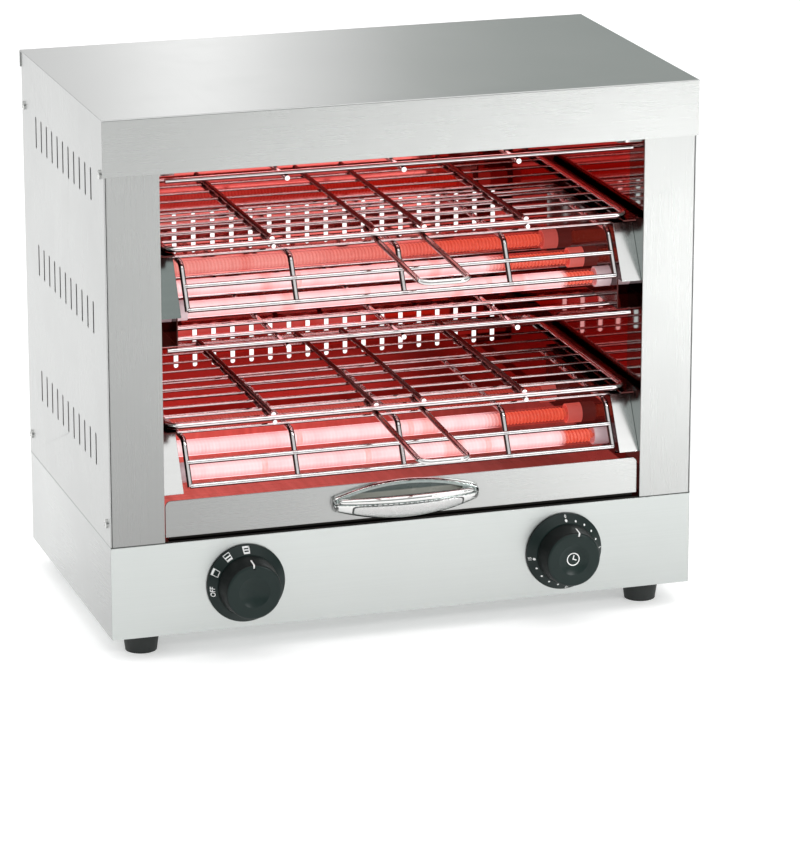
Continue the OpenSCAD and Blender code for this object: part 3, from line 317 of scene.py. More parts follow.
def chrome(name, glow_tinted, ribs=(), reach=0.0, dark=BLACK):
    """Chromed wire: neutral outside, with a painted pink reflection of the glow in the casing if glow_tinted, painted
    darker as shade and reflection along some ribs, given by their x, and painted dark red underneath as shade.
    """
    p = Paint(name, Metallic=1.0)
    spots = p.noise(260.0, (1, 1, 1), 4.0)
    tone = p.ramp(spots, (0.3, (0.74, 0.73, 0.73)), (0.7, (0.86, 0.85, 0.855)))
    if glow_tinted:
        painted_pink = p.ramp(spots, (0.3, (0.86, 0.70, 0.71)), (0.7, (0.96, 0.82, 0.83)))
        tone = p.mix(p.inside(), tone, painted_pink)
    # Painted shade and reflection: ribs are painted dark, deep in the casing or along their sides.
    if ribs:
        rib = p.near(p.math("ABSOLUTE", p.axis(0)), [x * MM for x in ribs], reach * MM)
        if glow_tinted:
            behind = p.math("GREATER_THAN", p.axis(1), FRONT + RIBS_FROM * MM)
            rib = p.math("MULTIPLY", rib, p.math("MULTIPLY", p.inside(), behind))
        else:
            edge = p.ramp(p.math("ABSOLUTE", p.facing(0)), (0.30, 0.0), (0.55, 1.0))
            rib = p.math("MULTIPLY", rib, p.math("MAXIMUM", edge, 0.25))
        tone = p.mix(rib, tone, dark)
    # Painted shade: faces that look down are painted dark red.
    p.set("Base Color", p.mix(p.span(p.facing(2), -0.35, 0.0, 1.0, 0.0), tone, (0.10, 0.035, 0.034)))
    p.set("Roughness", p.span(spots, 0.3, 0.7, 0.07, 0.13))
    p.bump(p.noise(2200.0, (1, 1, 1), 2.0), 0.05, 0.0001)
    return p.mat


def cup_inside():
    """Inside of the pull, painted with reflections: dark above, a paler band low down."""
    p = Paint("pull_cup", Specular_IOR_Level=0.6)
    clouds = p.noise(90.0, (1, 1, 1), 3.0)
    # Painted reflection: dark teal above, a paler band low down, by height.
    height = p.span(p.axis(2), 0.1035, 0.1170, 0.0, 1.0)
    tone = p.ramp(height, (0.0, (0.56, 0.57, 0.51)), (0.46, (0.50, 0.51, 0.46)),
                  (0.54, (0.082, 0.118, 0.112)), (1.0, (0.060, 0.092, 0.088)))
    p.set("Base Color", p.mix(1.0, tone, p.ramp(clouds, (0.3, 0.85), (0.7, 1.0)), "MULTIPLY"))
    p.set("Roughness", p.span(clouds, 0.3, 0.7, 0.2, 0.3))
    p.bump(p.noise(1800.0, (1, 1, 1), 2.0), 0.05, 0.0001)
    return p.mat


def handle_chrome():
    """Handle wire: bright at its end, painted red-brown towards the heat as a reflection of the glow."""
    p = Paint("wire_handle", Metallic=1.0)
    spots = p.noise(260.0, (1, 1, 1), 4.0)
    along = p.span(p.axis(1), FRONT - 86 * MM, FRONT - 62 * MM, 0.0, 1.0)
    # Painted reflection: red-brown of the glow, stronger towards the casing.
    tone = p.ramp(along, (0.0, (0.70, 0.685, 0.68)), (1.0, (0.33, 0.150, 0.138)))
    p.set("Base Color", p.mix(1.0, tone, p.ramp(spots, (0.3, 0.88), (0.7, 1.0)), "MULTIPLY"))
    p.set("Roughness", p.span(spots, 0.3, 0.7, 0.07, 0.13))
    p.bump(p.noise(2200.0, (1, 1, 1), 2.0), 0.05, 0.0001)
    return p.mat


def dial_black():
    """Dial plastic: satin on its faces, painted darker along the knobs' sides as shade."""
    p = Paint("dial_plastic", Specular_IOR_Level=0.2)
    clouds = p.noise(55.0, (1, 1, 1), 3.0)
    # Painted shade: faces that turn away from the front are painted darker.
    face = p.span(p.facing(1), -0.85, -0.45, 1.0, 0.0)
    tone = p.ramp(clouds, (0.3, (0.0085, 0.0175, 0.016)), (0.7, (0.012, 0.0225, 0.0205)))
    p.set("Base Color", p.mix(face, (0.0022, 0.0042, 0.004), tone))
    p.set("Roughness", p.math("ADD", p.span(face, 0.0, 1.0, 0.5, 0.32), p.span(clouds, 0.3, 0.7, -0.03, 0.03)))
    p.bump(p.noise(2600.0, (1, 1, 1), 3.0), 0.1, 0.0001)
    return p.mat


def rear_sheet():
    """Rear panel: brushed outside, polished and red from the glow inside."""
    p = Paint("steel_rear_panel", Metallic=1.0)
    lines = p.noise(1.0, (9, 1400, 1400), 4.0, 0.6)
    clouds = p.noise(7.0, (1, 1, 1), 2.0)
    outside = p.ramp(clouds, (0.3, STEEL_DARK), (0.7, STEEL_LIGHT))
    inside = p.ramp(clouds, (0.3, GLOW_TINT_DARK), (0.7, GLOW_TINT_LIGHT))
    behind = p.math("GREATER_THAN", p.axis(1), FRONT + 249.6 * MM)
    p.set("Base Color", p.mix(behind, inside, outside))
    p.set("Roughness", p.math("ADD", p.span(behind, 0.0, 1.0, 0.025, 0.26), p.span(lines, 0.25, 0.75, 0.0, 0.03)))
    p.bump(lines, 0.03, 0.0001)
    return p.mat


def quartz(name, glow, end, edge, soft, full, clear, base, rim=0.75, under=4.0, marks=()):
    """Milky glowing quartz over its coil: whiter along its middle, with painted shade and redness towards its outline
    as seen from the camera's height, hottest underneath, clearer and redder beyond an edge at the right end, with a
    few rust-red marks."""
    p = Paint(name, Roughness=0.22, Specular_IOR_Level=0.4)
    cool = p.span(p.axis(0), edge, edge + soft, 0.0, 1.0)
    patches = p.noise(60.0, (1, 0.4, 0.4), 3.0)
    stain = p.ramp(p.noise(34.0, (1, 0.05, 0.05), 1.0), (0.66, 1.0), (0.74, (0.92, 0.62, 0.58)))
    colour = p.mix(1.0, p.mix(cool, glow, end), p.ramp(patches, (0.3, (0.88, 0.76, 0.77)), (0.6, 1.0)), "MULTIPLY")
    colour = p.mix(1.0, colour, stain, "MULTIPLY")
    # Painted shade: the emission dims towards the tube's outline as seen from the camera's height.
    off = p.math("ABSOLUTE", p.math("SUBTRACT", p.facing(2), 0.28))
    colour = p.mix(1.0, colour, p.ramp(off, (0.30, 1.0), (0.72, (0.90, rim, rim))), "MULTIPLY")
    if marks:
        mark = p.ramp(p.noise(160.0, (1, 1, 1), 2.0), (0.3, 0.35), (0.7, 1.0))
        mark = p.math("MULTIPLY", mark, p.near(p.axis(0), marks, 0.0022))
        colour = p.mix(mark, colour, (0.80, 0.36, 0.33))
    hot = p.mix(1.0, colour, (under, under, under), "MULTIPLY")
    colour = p.mix(p.span(p.facing(2), -0.78, -0.92, 0.0, 1.0), colour, hot)
    p.shader.inputs["Base Color"].default_value = (*base, 1.0)
    p.set("Emission Color", colour)
    p.shader.inputs["Emission Strength"].default_value = 1.0
    p.set("Alpha", p.span(cool, 0.0, 1.0, full, clear))
    p.bump(p.noise(900.0, (0.3, 1, 1), 2.0), 0.04, 0.0001)
    return p.mat


def glowing_wire(name, glow, end, edge, soft):
    """Heating wire: bright where the tube glows, redder beyond the edge, plain metal at its pins."""
    p = Paint(name, Metallic=0.6, Roughness=0.45)
    spots = p.noise(300.0)
    lit = p.span(p.math("ABSOLUTE", p.axis(0)), 0.151, 0.158, 1.0, 0.0)
    cool = p.span(p.axis(0), edge, edge + soft, 0.0, 1.0)
    colour = p.mix(1.0, p.mix(cool, glow, end), p.ramp(spots, (0.3, 0.85), (0.7, 1.0)), "MULTIPLY")
    # Painted shade: the coil's flanks glow less than its crests, so its turns show as ribs.
    turn_shade = p.ramp(p.math("ABSOLUTE", p.facing(0)), (0.15, 1.0), (0.85, (0.70, 0.45, 0.40)))
    colour = p.mix(1.0, colour, turn_shade, "MULTIPLY")
    p.set("Base Color", p.ramp(spots, (0.3, (0.20, 0.09, 0.07)), (0.7, (0.28, 0.13, 0.10))))
    p.set("Emission Color", p.mix(lit, BLACK, colour))
    p.shader.inputs["Emission Strength"].default_value = 1.0
    p.mat.cycles.emission_sampling = "NONE"
    return p.mat


def cap_ceramic():
    """Ceramic end caps, painted redder and given a painted glow towards the rear, as light from the red glow."""
    p = Paint("cap_ceramic", Roughness=0.5)
    back = p.span(p.axis(1), FRONT + 32 * MM, FRONT + 148 * MM, 0.0, 1.0)
    clouds = p.ramp(p.noise(80.0), (0.3, 0.86), (0.7, 1.0))
    # Painted light: red tint and emission by depth stand for the heaters' glow on the caps.
    base = p.ramp(back, (0.0, (0.72, 0.58, 0.60)), (0.5, (0.55, 0.12, 0.10)), (1.0, (0.42, 0.08, 0.07)))
    p.set("Base Color", p.mix(1.0, base, clouds, "MULTIPLY"))
    p.set("Emission Color", p.ramp(back, (0.0, (0.16, 0.10, 0.11)), (0.5, (0.42, 0.06, 0.045)),
                                   (1.0, (0.34, 0.06, 0.05))))
    p.shader.inputs["Emission Strength"].default_value = 1.0
    p.bump(p.noise(1800.0), 0.15, 0.0001)
    return p.mat


# Painted light and shade: the inside steels are red from the painted glow; the wall's front strip is painted
# grey-green shade, the deck is painted dark in the gap under the tray, and the tray is painted dark at its front and
# underneath and given a painted glow.
polished = inside_sheet("steel_polished_inside", 0.035)
wall_steel = inside_sheet("steel_inner_wall", 0.03, shaded_depth=30, dark=(0.20, 0.235, 0.225), wall=180.6)
deck_steel = inside_sheet("steel_deck", 0.12, shaded_depth=9)
tray_steel = inside_sheet("steel_crumb_tray", 0.3, glow=0.50, shaded_depth=4.6, under=True)
# Painted shade: near-black polished steel for the runners and the brackets' hidden faces, which sit in shade.
shade_polish = brushed("steel_polished_painted_shade", POLISHED, (0.040, 0.014, 0.013), (0.065, 0.022, 0.020), 0.07, 0.02)
rack_chrome = chrome("wire_rack", True, (18, 95), 2.0, (0.20, 0.045, 0.042))
guard_chrome = chrome("wire_guard", True)
front_chrome = chrome("wire_guard_front", False, (0, 80, 160), 2.1, (0.10, 0.070, 0.066))
dial_plastic = dial_black()
pull_cup = cup_inside()
handle_steel = handle_chrome()
rear_steel = rear_sheet()
ceramic = cap_ceramic()


def tube_look(name, glass, wire, edge, soft, full, clear, base=(0.25, 0.12, 0.12), **more):
    """Materials of a tube and of its coil. glass and wire are pairs of glow, in the middle and beyond the edge."""
    return (quartz("quartz_" + name, *glass, edge, soft, full, clear, base, **more),
            glowing_wire("heating_wire_" + name, *wire, edge, soft))


PINK_GLASS = (0.97, 0.77, 0.80), (0.36, 0.04, 0.025)
HOT_WIRE = (1.35, 1.0, 1.02), (0.98, 0.13, 0.07)
GLASS = {
    "front": tube_look("front", PINK_GLASS, HOT_WIRE, 0.127, 0.006, 0.74, 0.22,
                       rim=0.62, marks=(-0.098, -0.020, 0.072)),
    "middle": tube_look("middle", PINK_GLASS, HOT_WIRE, 0.088, 0.016, 0.74, 0.28,
                        rim=0.62, marks=(-0.055, 0.031)),
    "rear": tube_look("rear", ((0.72, 0.25, 0.225), (0.40, 0.045, 0.03)), ((1.0, 0.42, 0.37), HOT_WIRE[1]),
                      -0.06, 0.14, 0.66, 0.36, (0.25, 0.10, 0.10)),
    "dull": tube_look("dull", ((0.40, 0.058, 0.048), (0.28, 0.03, 0.024)), ((0.62, 0.10, 0.075), (0.5, 0.06, 0.04)),
                      0.0, 0.1, 0.7, 0.5, (0.15, 0.05, 0.05)),
    "top": tube_look("top", ((2.0, 1.35, 1.35), (1.2, 0.3, 0.25)), HOT_WIRE, 0.12, 0.02, 0.74, 0.3,
                     rim=0.8, under=2.0),
}


# Pieces

def piece(name, mesh, mats, body, slot, *stands_for):
    obj = bpy.data.objects.new(name, mesh)
    scene.collection.objects.link(obj)
    for mat in mats if isinstance(mats, (list, tuple)) else [mats]:
        mesh.materials.append(mat)
    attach(obj, body)
    if stands_for:
        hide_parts(*stands_for)
    return obj


def dressed(node, mats, slot, width=0.3, fold=1.1, folds=(), pick=None, merge=True):
    """A CAD node's own shape with eased edges, width millimetres wide. folds are pairs of box faces, such as
    ("-y", "+z"), whose shared edge is a sheet fold, fold millimetres wide. pick gives a face its material's
    number, and merge joins the triangles of flat faces."""
    source = nodes[node]
    low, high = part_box(node)
    bm = bmesh.new()
    bm.from_mesh(source.data)
    bmesh.ops.remove_doubles(bm, verts=bm.verts, dist=1e-6)
    if merge:
        bmesh.ops.dissolve_limit(bm, angle_limit=math.radians(1), verts=bm.verts, edges=bm.edges)
    weight = bm.edges.layers.float.new("bevel_weight_edge")

    def on(vert, face):
        axis = "xyz".index(face[1])
        return abs(vert.co[axis] - (high if face[0] == "+" else low)[axis]) < 2e-5

    for edge in bm.edges:
        sharp = len(edge.link_faces) == 2 and edge.calc_face_angle(0.0) > math.radians(28)
        edge.smooth = not sharp
        if not sharp:
            continue
        wide = any(on(v, a) and on(edge.other_vert(v), a) and on(v, b) and on(edge.other_vert(v), b)
                   for a, b in folds for v in edge.verts[:1])
        edge[weight] = 1.0 if wide else width / fold
    for face in bm.faces:
        face.smooth = True
        face.material_index = pick(face) if pick else 0
    mesh = bpy.data.meshes.new(node + "_sheet")
    bm.to_mesh(mesh)
    bm.free()
    obj = piece(node + "_sheet", mesh, mats, source["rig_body"], slot, node)
    bevel = obj.modifiers.new("eased_edges", "BEVEL")
    bevel.limit_method = "WEIGHT"
    bevel.width = fold * MM
    bevel.segments = 3
    bevel.use_clamp_overlap = False
    bevel.harden_normals = True
    return obj


def paint(mat, *names):
    for name in names:
        slots = nodes[name].data.materials
        slots.clear()
        slots.append(mat)


def swept(bm, points, radii, sides, closed_ends=True):
    """A round tube along points, with a radius at each point."""
    rings = []
    normal = None
    for i, point in enumerate(points):
        ahead = points[min(i + 1, len(points) - 1)] - points[max(i - 1, 0)]
        ahead.normalize()
        if normal is None:
            normal = ahead.orthogonal().normalized()
        else:
            normal = (normal - ahead * normal.dot(ahead)).normalized()
        other = ahead.cross(normal)
        rings.append([bm.verts.new(point + radii[i] * (math.cos(a) * normal + math.sin(a) * other))
                      for a in (2 * math.pi * k / sides for k in range(sides))])
    for a, b in zip(rings, rings[1:]):
        for k in range(sides):
            face = bm.faces.new((a[k], a[(k + 1) % sides], b[(k + 1) % sides], b[k]))
            face.smooth = True
    if closed_ends:
        bm.faces.new(rings[0][::-1])
        bm.faces.new(rings[-1])


def sheet(bm, rows, material=0):
    """Faces over a grid of points."""
    verts = [[bm.verts.new(p) for p in row] for row in rows]
    for a, b in zip(verts, verts[1:]):
        for k in range(len(a) - 1):
            face = bm.faces.new((a[k], a[k + 1], b[k + 1], b[k]))
            face.smooth = True
            face.material_index = material


def mesh_from(bm, name):
    bmesh.ops.recalc_face_normals(bm, faces=bm.faces)
    mesh = bpy.data.meshes.new(name)
    bm.to_mesh(mesh)
    bm.free()
    return mesh


# Casing

dressed("top_cover", [steel_top, steel_x], "casing_steel", folds=[("-y", "+z"), ("+y", "+z")],
        pick=lambda face: 0 if abs(face.normal.z) > 0.7 else 1)
dressed("base_housing", [steel_base, steel_base_side], "casing_steel",
        pick=lambda face: 1 if abs(face.normal.x) > 0.7 else 0,
        folds=[("-y", "+z"), ("-y", "-x"), ("-y", "+x"), ("+z", "-x"), ("+z", "+x"), ("+y", "+x"), ("+y", "-x")])
for side, out in (("left", "-x"), ("right", "+x")):
    dressed(side + "_side_panel", steel_side, "casing_steel", folds=[(out, "+z")])
    dressed(side + "_front_post", [steel_left if side == "left" else steel_right, steel_side], "casing_steel",
            folds=[(out, "-y")], pick=lambda face: 1 if abs(face.normal.x) > 0.7 else 0)
dressed("rear_panel", rear_steel, "casing_steel")
dressed("tray_front", steel_tray, "casing_steel", width=0.35)
for side in ("left", "right"):
    for bank in ("middle", "bottom"):
        # Painted shade: the left middle bracket's front is the shaded copy, the others the lit one.
        front = shade_sheet if (side, bank) == ("left", "middle") else lit_sheet
        dressed(f"{side}_{bank}_bracket", [front, shade_polish], "polished_steel",
                pick=lambda face: 0 if face.normal.y < -0.3 and abs(face.normal.y) < 0.97 else 1)
paint(lit_sheet, "left_top_bracket", "right_top_bracket")
dressed("crumb_tray", tray_steel, "polished_steel")
paint(wall_steel, "left_inner_wall", "right_inner_wall")
paint(polished, "reflector")
paint(shade_polish, "upper_runners", "lower_runners")
paint(deck_steel, "deck")
paint(steel_base, "base_plate")
paint(foot_rubber, "feet")
paint(guard_chrome, "top_guard", "middle_upper_guard", "middle_lower_guard", "bottom_guard")
paint(front_chrome, "middle_guard_front", "bottom_guard_front")
paint(rack_chrome, "upper_rack", "lower_rack")
paint(handle_steel, "upper_rack_handle", "lower_rack_handle")
paint(bright_metal, "foot_screws", "foot_nuts", "pull_screws", "selector_shaft", "timer_shaft", "control_nuts")
paint(ceramic, "end_caps")
paint(brass, "bus_bars")
paint(silicone, "heater_leads", "control_leads")
paint(black_plastic, "terminal_blocks", "cable_gland", "gland_nut", "selector_switch", "timer")
paint(dial_plastic, "selector_ring", "timer_ring", "selector_knob", "timer_knob")


# Screws

HEAD_R, HEAD_H, SHANK_R = 3.3, 2.0, 1.6


def screw(bm, seat, out):
    """A pan-head screw with a cross recess: seat is the head's foot, out the way that it faces."""
    out = Vector(out)
    right = out.orthogonal().normalized()
    up = out.cross(right)

    def point(a, b, h):
        return seat + (a * right + b * up + h * out) * MM

    half = 10
    rows = []
    for i in range(-half, half + 1):
        row = []
        for j in range(-half, half + 1):
            a, b = i / half, j / half
            if a or b:
                scale = HEAD_R * max(abs(a), abs(b)) / math.hypot(a, b)
                a, b = a * scale, b * scale
            h = HEAD_H * math.sqrt(max(0.0, 1.0 - 0.62 * (a * a + b * b) / 10.9))
            if (abs(i) <= 1 and abs(j) <= 5) or (abs(j) <= 1 and abs(i) <= 5):
                h -= 1.1 - 0.09 * max(abs(i), abs(j))
            row.append(point(a, b, h))
        rows.append(row)
    sheet(bm, rows)
    edge = [(HEAD_R * math.cos(t), HEAD_R * math.sin(t)) for t in (2 * math.pi * k / 40 for k in range(41))]
    sheet(bm, [[point(a, b, 1.23) for a, b in edge], [point(a, b, 0.02) for a, b in edge]])
    swept(bm, [point(0, 0, 0.6), point(0, 0, -8)], [SHANK_R * MM, SHANK_R * MM], 16)


def casing_screws():
    bm = bmesh.new()
    for side in (-1, 1):
        for depth in (10, 242):
            for z in (103, 357.5):
                screw(bm, at(side * 220, depth, z), (side, 0, 0))
        for depth in (30, 220):
            screw(bm, at(side * 213, depth, 88), (0, 0, 1))
        for depth in (70, 180):
            screw(bm, at(side * 213, depth, 18), (0, 0, -1))
    for x in (-150, -50, 50, 150):
        screw(bm, at(x, 251, 391), (0, 1, 0))
    piece("casing_screws_cross_head", mesh_from(bm, "casing_screws_cross_head"), bright_metal,
          "casing", "bright_metal", "casing_screws")


casing_screws()


# Heaters

TUBE_DEPTHS = (32, 90, 148)
TUBE_R, TUBE_HALF = 6, 162.95
PIN_R, PIN_FROM, PIN_TO = 1.0, 160, 196.5
BANKS = {"bottom": 128.5, "middle": 249.0, "top": 372.0}
LOOKS = {"bottom": ("front", "middle", "dull"), "middle": ("front", "middle", "rear"), "top": ("top", "top", "top")}


def tube_bank(bank):
    bm = bmesh.new()
    for index, depth in enumerate(TUBE_DEPTHS):
        points = [at(-TUBE_HALF + i * 2 * TUBE_HALF / 24, depth, BANKS[bank]) for i in range(25)]
        before = len(bm.faces)
        swept(bm, points, [TUBE_R * MM] * len(points), 40, closed_ends=False)
        bm.faces.ensure_lookup_table()
        for face in bm.faces[before:]:
            face.material_index = index
    piece(bank + "_tubes_quartz", mesh_from(bm, bank + "_tubes_quartz"), [GLASS[look][0] for look in LOOKS[bank]],
          "casing", "quartz", bank + "_tubes")


def coil_bank(bank):
    pitch, turn_r, wire_r, half, step = 2.7, 3.7, 1.18, 156.0, 14
    turns = int(2 * half / pitch)
    bm = bmesh.new()
    for index, depth in enumerate(TUBE_DEPTHS):
        before = len(bm.faces)
        points = [at(x, depth, BANKS[bank]) for x in (-PIN_TO, -PIN_FROM)]
        radii = [PIN_R * MM, PIN_R * MM]
        for i in range(turns * step + 1):
            a = 2 * math.pi * i / step
            r = turn_r * min(1.0, i / step, (turns * step - i) / step)
            points.append(at(-half + i * pitch / step, depth + r * math.cos(a), BANKS[bank] + r * math.sin(a)))
            radii.append(wire_r * MM)
        points += [at(x, depth, BANKS[bank]) for x in (PIN_FROM, PIN_TO)]
        radii += [PIN_R * MM, PIN_R * MM]
        swept(bm, points, radii, 6)
        bm.faces.ensure_lookup_table()
        for face in bm.faces[before:]:
            face.material_index = index
    piece(bank + "_coils_wound", mesh_from(bm, bank + "_coils_wound"), [GLASS[look][1] for look in LOOKS[bank]],
          "casing", "heating_wire", bank + "_coils")


for bank in BANKS:
    tube_bank(bank)
    coil_bank(bank)


# Tray pull

PULL_Z, PULL_DEPTH, PULL_R, PULL_ARC = 103.8, 3.0, 14.5, 172.56
CUP_HALF, CUP_WALL = 42.5, 1.2
PLATE_HALF, PLATE_AT, PLATE_REACH = 41, 27, 24
LIP_HALF = 51.0


def pull_radius(x):
    """The pull's outer radius about its own axis, smaller towards its ends."""
    return PULL_R - PULL_ARC + math.sqrt(PULL_ARC * PULL_ARC - x * x)


def pull_side(face):
    """0 for the outer skin of the pull, 1 for the inside of its cup, 2 for the flat rim over it."""
    x, y, z = face.calc_center_median() / MM
    away = math.hypot(y - FRONT / MM - PULL_DEPTH, z - PULL_Z)
    if face.normal.y < -0.9 and y < FRONT / MM:
        return 2 if z > PULL_Z else 0
    return 1 if abs(x) < CUP_HALF and away < pull_radius(x) - CUP_WALL and face.normal.z > -0.2 else 0


def pull_plate():
    """Raised plate on the lower front of the pull, ringed by a narrow sheet painted dark as the shade of its groove.
    """
    bm = bmesh.new()
    for grow, lift, material in ((1.09, 0.05, 1), (1.0, 0.34, 0)):
        rows = []
        for j in range(-8, 9):
            row = []
            for i in range(-30, 31):
                x = PLATE_HALF * math.sin(math.pi * i / 60) * (1 + (grow - 1) * 0.35)
                span = max(0.0, 1 - (i / 30) ** 6) ** 0.5
                angle = math.radians(PLATE_AT + PLATE_REACH * grow * span * j / 8)
                r = pull_radius(x) + lift - (0.3 if abs(j) == 8 and material == 0 else 0.0)
                row.append(at(x, PULL_DEPTH - r * math.cos(angle), PULL_Z - r * math.sin(angle)))
            rows.append(row)
        sheet(bm, rows, material)
    piece("tray_pull_plate", mesh_from(bm, "tray_pull_plate"), [pull_panel, groove_shade], "tray", "bright_metal")


def pull_lip():
    """Rolled lip along the front of the cup, with a narrower bead behind it."""
    bm = bmesh.new()
    for back, high, size in ((0.0, 2.4, 2.9), (5.0, 3.4, 1.25)):
        points, radii = [], []
        for i in range(49):
            x = -LIP_HALF + 2 * LIP_HALF * i / 48
            r = size * (0.35 + 0.65 * math.sqrt(max(0.0, 1 - (x / 51.5) ** 2)))
            away = (pull_radius(x) - r + 0.15) - back * (pull_radius(x) / PULL_R)
            points.append(at(x, PULL_DEPTH - away, PULL_Z + high))
            radii.append(r * MM)
        swept(bm, points, radii, 20)
    piece("tray_pull_lip", mesh_from(bm, "tray_pull_lip"), pull_chrome, "tray", "bright_metal")


dressed("tray_pull", [pull_chrome, pull_cup, pull_rim], "bright_metal", width=0.5, fold=2.0,
        folds=[("-x", "-x"), ("+x", "+x")], pick=pull_side, merge=False)
pull_plate()
pull_lip()


# Dial marks

def face_tree(*names):
    verts, faces = [], []
    for name in names:
        mesh = nodes[name].data
        start = len(verts)
        verts += [v.co.copy() for v in mesh.vertices]
        faces += [[start + i for i in p.vertices] for p in mesh.polygons]
    return BVHTree.FromPolygons(verts, faces)


DIAL_X, DIAL_Z, PRINT_LIFT = 121, 52.0, 0.06
MINUTE, TIMER_AT = 17.6, 12
DOT_R, NUMBER_R, NUMBER_SIZE = 24.6, 27.2, 2.9


class Dial:
    """Print on a dial. Angles run clockwise from the top, in degrees; lengths are millimetres."""

    def __init__(self, x, *names):
        self.x, self.z = x, DIAL_Z
        self.tree = face_tree(*names)
        self.bm = bmesh.new()

    def spot(self, r, angle, side=0.0):
        """The point of the dial's surface at a radius and angle, just above it."""
        a = math.radians(angle)
        x = self.x + r * math.sin(a) + side * math.cos(a)
        z = self.z + r * math.cos(a) - side * math.sin(a)
        start = at(x, -60, z)
        hit = self.tree.ray_cast(start, Vector((0, 1, 0)))[0]
        return hit + Vector((0, -PRINT_LIFT * MM, 0))

    def bar(self, angle, r0, left, right, low, high):
        """A bar of print around radius r0: left to right along the ring, low to high away from the centre."""
        across = max(1, math.ceil((right - left) / 0.9))
        up = max(1, math.ceil((high - low) / 1.2))
        sheet(self.bm, [[self.spot(r0 + low + (high - low) * j / up,
                                   angle + math.degrees((left + (right - left) * i / across) / r0))
                         for i in range(across + 1)] for j in range(up + 1)])

    def dot(self, angle, r, size):
        centre = self.bm.verts.new(self.spot(r, angle))
        rim = [self.bm.verts.new(self.spot(r + size * math.cos(t), angle + math.degrees(size * math.sin(t) / r)))
               for t in (2 * math.pi * k / 16 for k in range(16))]
        for k in range(16):
            self.bm.faces.new((centre, rim[k], rim[(k + 1) % 16]))

    def text(self, words, angle, r0, size):
        curve = bpy.data.curves.new("dial_text", "FONT")
        curve.body, curve.size = words, size
        curve.align_x, curve.align_y = "CENTER", "CENTER"
        curve.offset = 0.012 * size
        holder = bpy.data.objects.new("dial_text", curve)
        scene.collection.objects.link(holder)
        flat = bpy.data.meshes.new_from_object(holder.evaluated_get(bpy.context.evaluated_depsgraph_get()))
        verts = [self.bm.verts.new(self.spot(r0 + v.co.y, angle + math.degrees(v.co.x / r0)))
                 for v in flat.vertices]
        for p in flat.polygons:
            self.bm.faces.new([verts[i] for i in p.vertices])
        bpy.data.objects.remove(holder)
        bpy.data.curves.remove(curve)
        bpy.data.meshes.remove(flat)

    def done(self, name, body):
        piece(name, mesh_from(self.bm, name), dial_print, body, "dial_plastic")


def selector_print():
    dial = Dial(-DIAL_X, "selector_ring")
    r0, half, top = 26.0, 2.5, 2.35
    dial.text("OFF", -97, r0 - 0.2, 4.3)
    for angle in (-65, -33):
        dial.bar(angle, r0, -half, -half + 0.42, -top, top)
        dial.bar(angle, r0, half - 0.42, half, -top, top)
        dial.bar(angle, r0, -half, half, -top, -top + 0.4)
        dial.bar(angle, r0, -half, half, top - 0.4, top)
    dial.bar(-65, r0, -half, half, top - 1.4, top)
    dial.bar(-33, r0, -half, half, -0.25, 0.55)
    dial.bar(-33, r0, -half, half, -top, -1.15)
    for low, high in ((-top, -1.25), (-0.35, 0.4), (1.2, top)):
        dial.bar(-1, r0, -half, half, low, high)
    for left in (-half, half - 0.9):
        dial.bar(-1, r0, left, left + 0.9, -top, top)
    dial.done("selector_ring_print", "casing")


def timer_print():
    dial = Dial(DIAL_X, "timer_ring")
    for minute in range(16):
        dial.dot(MINUTE * minute, DOT_R, 0.95 if minute in (0, 15) else 0.72)
    for minute in (0, 5, 10, 15):
        dial.text(str(minute), MINUTE * minute, NUMBER_R, NUMBER_SIZE)
    dial.done("timer_ring_print", "casing")


def pointer(dial, angle):
    """White inlay line over the rounded edge of a knob, from its side onto its face."""
    side = [(22.25 - 1.75 * (h - 7.5) / 14.3 + 0.07, h) for h in (15.0, 16.5, 18.0, 19.5, 21.8)]
    side += [(18.3 + 2.27 * math.cos(t), 21.8 + 2.27 * math.sin(t))
             for t in (math.radians(d) for d in (12, 24, 36))]
    a = math.radians(angle)
    rows = []
    for r, h in side:
        rows.append([at(dial.x + r * math.sin(a) + s * math.cos(a), -h, dial.z + r * math.cos(a) - s * math.sin(a))
                     for s in (-0.6, 0.0, 0.6)])
    for r in (19.8, 19.1, 18.4, 17.8):
        rows.append([dial.spot(r, angle, s) for s in (-0.6, 0.0, 0.6)])
    sheet(dial.bm, rows)


def knob_print():
    dial = Dial(-DIAL_X, "selector_knob")
    pointer(dial, 0)
    dial.done("selector_knob_pointer", "selector")
    dial = Dial(DIAL_X, "timer_knob")
    pointer(dial, TIMER_AT)
    rows = [[dial.spot(r, 360 * k / 48) for k in range(49)] for r in (4.15, 4.95)]
    sheet(dial.bm, rows)
    for turn, length in ((TIMER_AT, 3.0), (TIMER_AT + 97, 2.7)):
        sheet(dial.bm, [[dial.spot(r, turn, s) for s in (-0.42, 0.42)] for r in (-0.42, length * 0.5, length)])
    dial.done("timer_knob_print", "timer_dial")


selector_print()
timer_print()
knob_print()


# Stage, light and camera

def floor():
    p = Paint("floor_pale", Roughness=0.6)
    p.set("Base Color", p.ramp(p.noise(3.0, detail=2.0), (0.3, 0.80), (0.7, 0.82)))
    p.shader.inputs["Emission Color"].default_value = (1.0, 1.0, 1.0, 1.0)
    p.shader.inputs["Emission Strength"].default_value = 0.35
    p.mat.cycles.emission_sampling = "NONE"
    bm = bmesh.new()
    bmesh.ops.create_grid(bm, x_segments=8, y_segments=8, size=9.0)
    mesh = mesh_from(bm, "floor")
    mesh.materials.append(p.mat)
    obj = bpy.data.objects.new("floor", mesh)
    scene.collection.objects.link(obj)


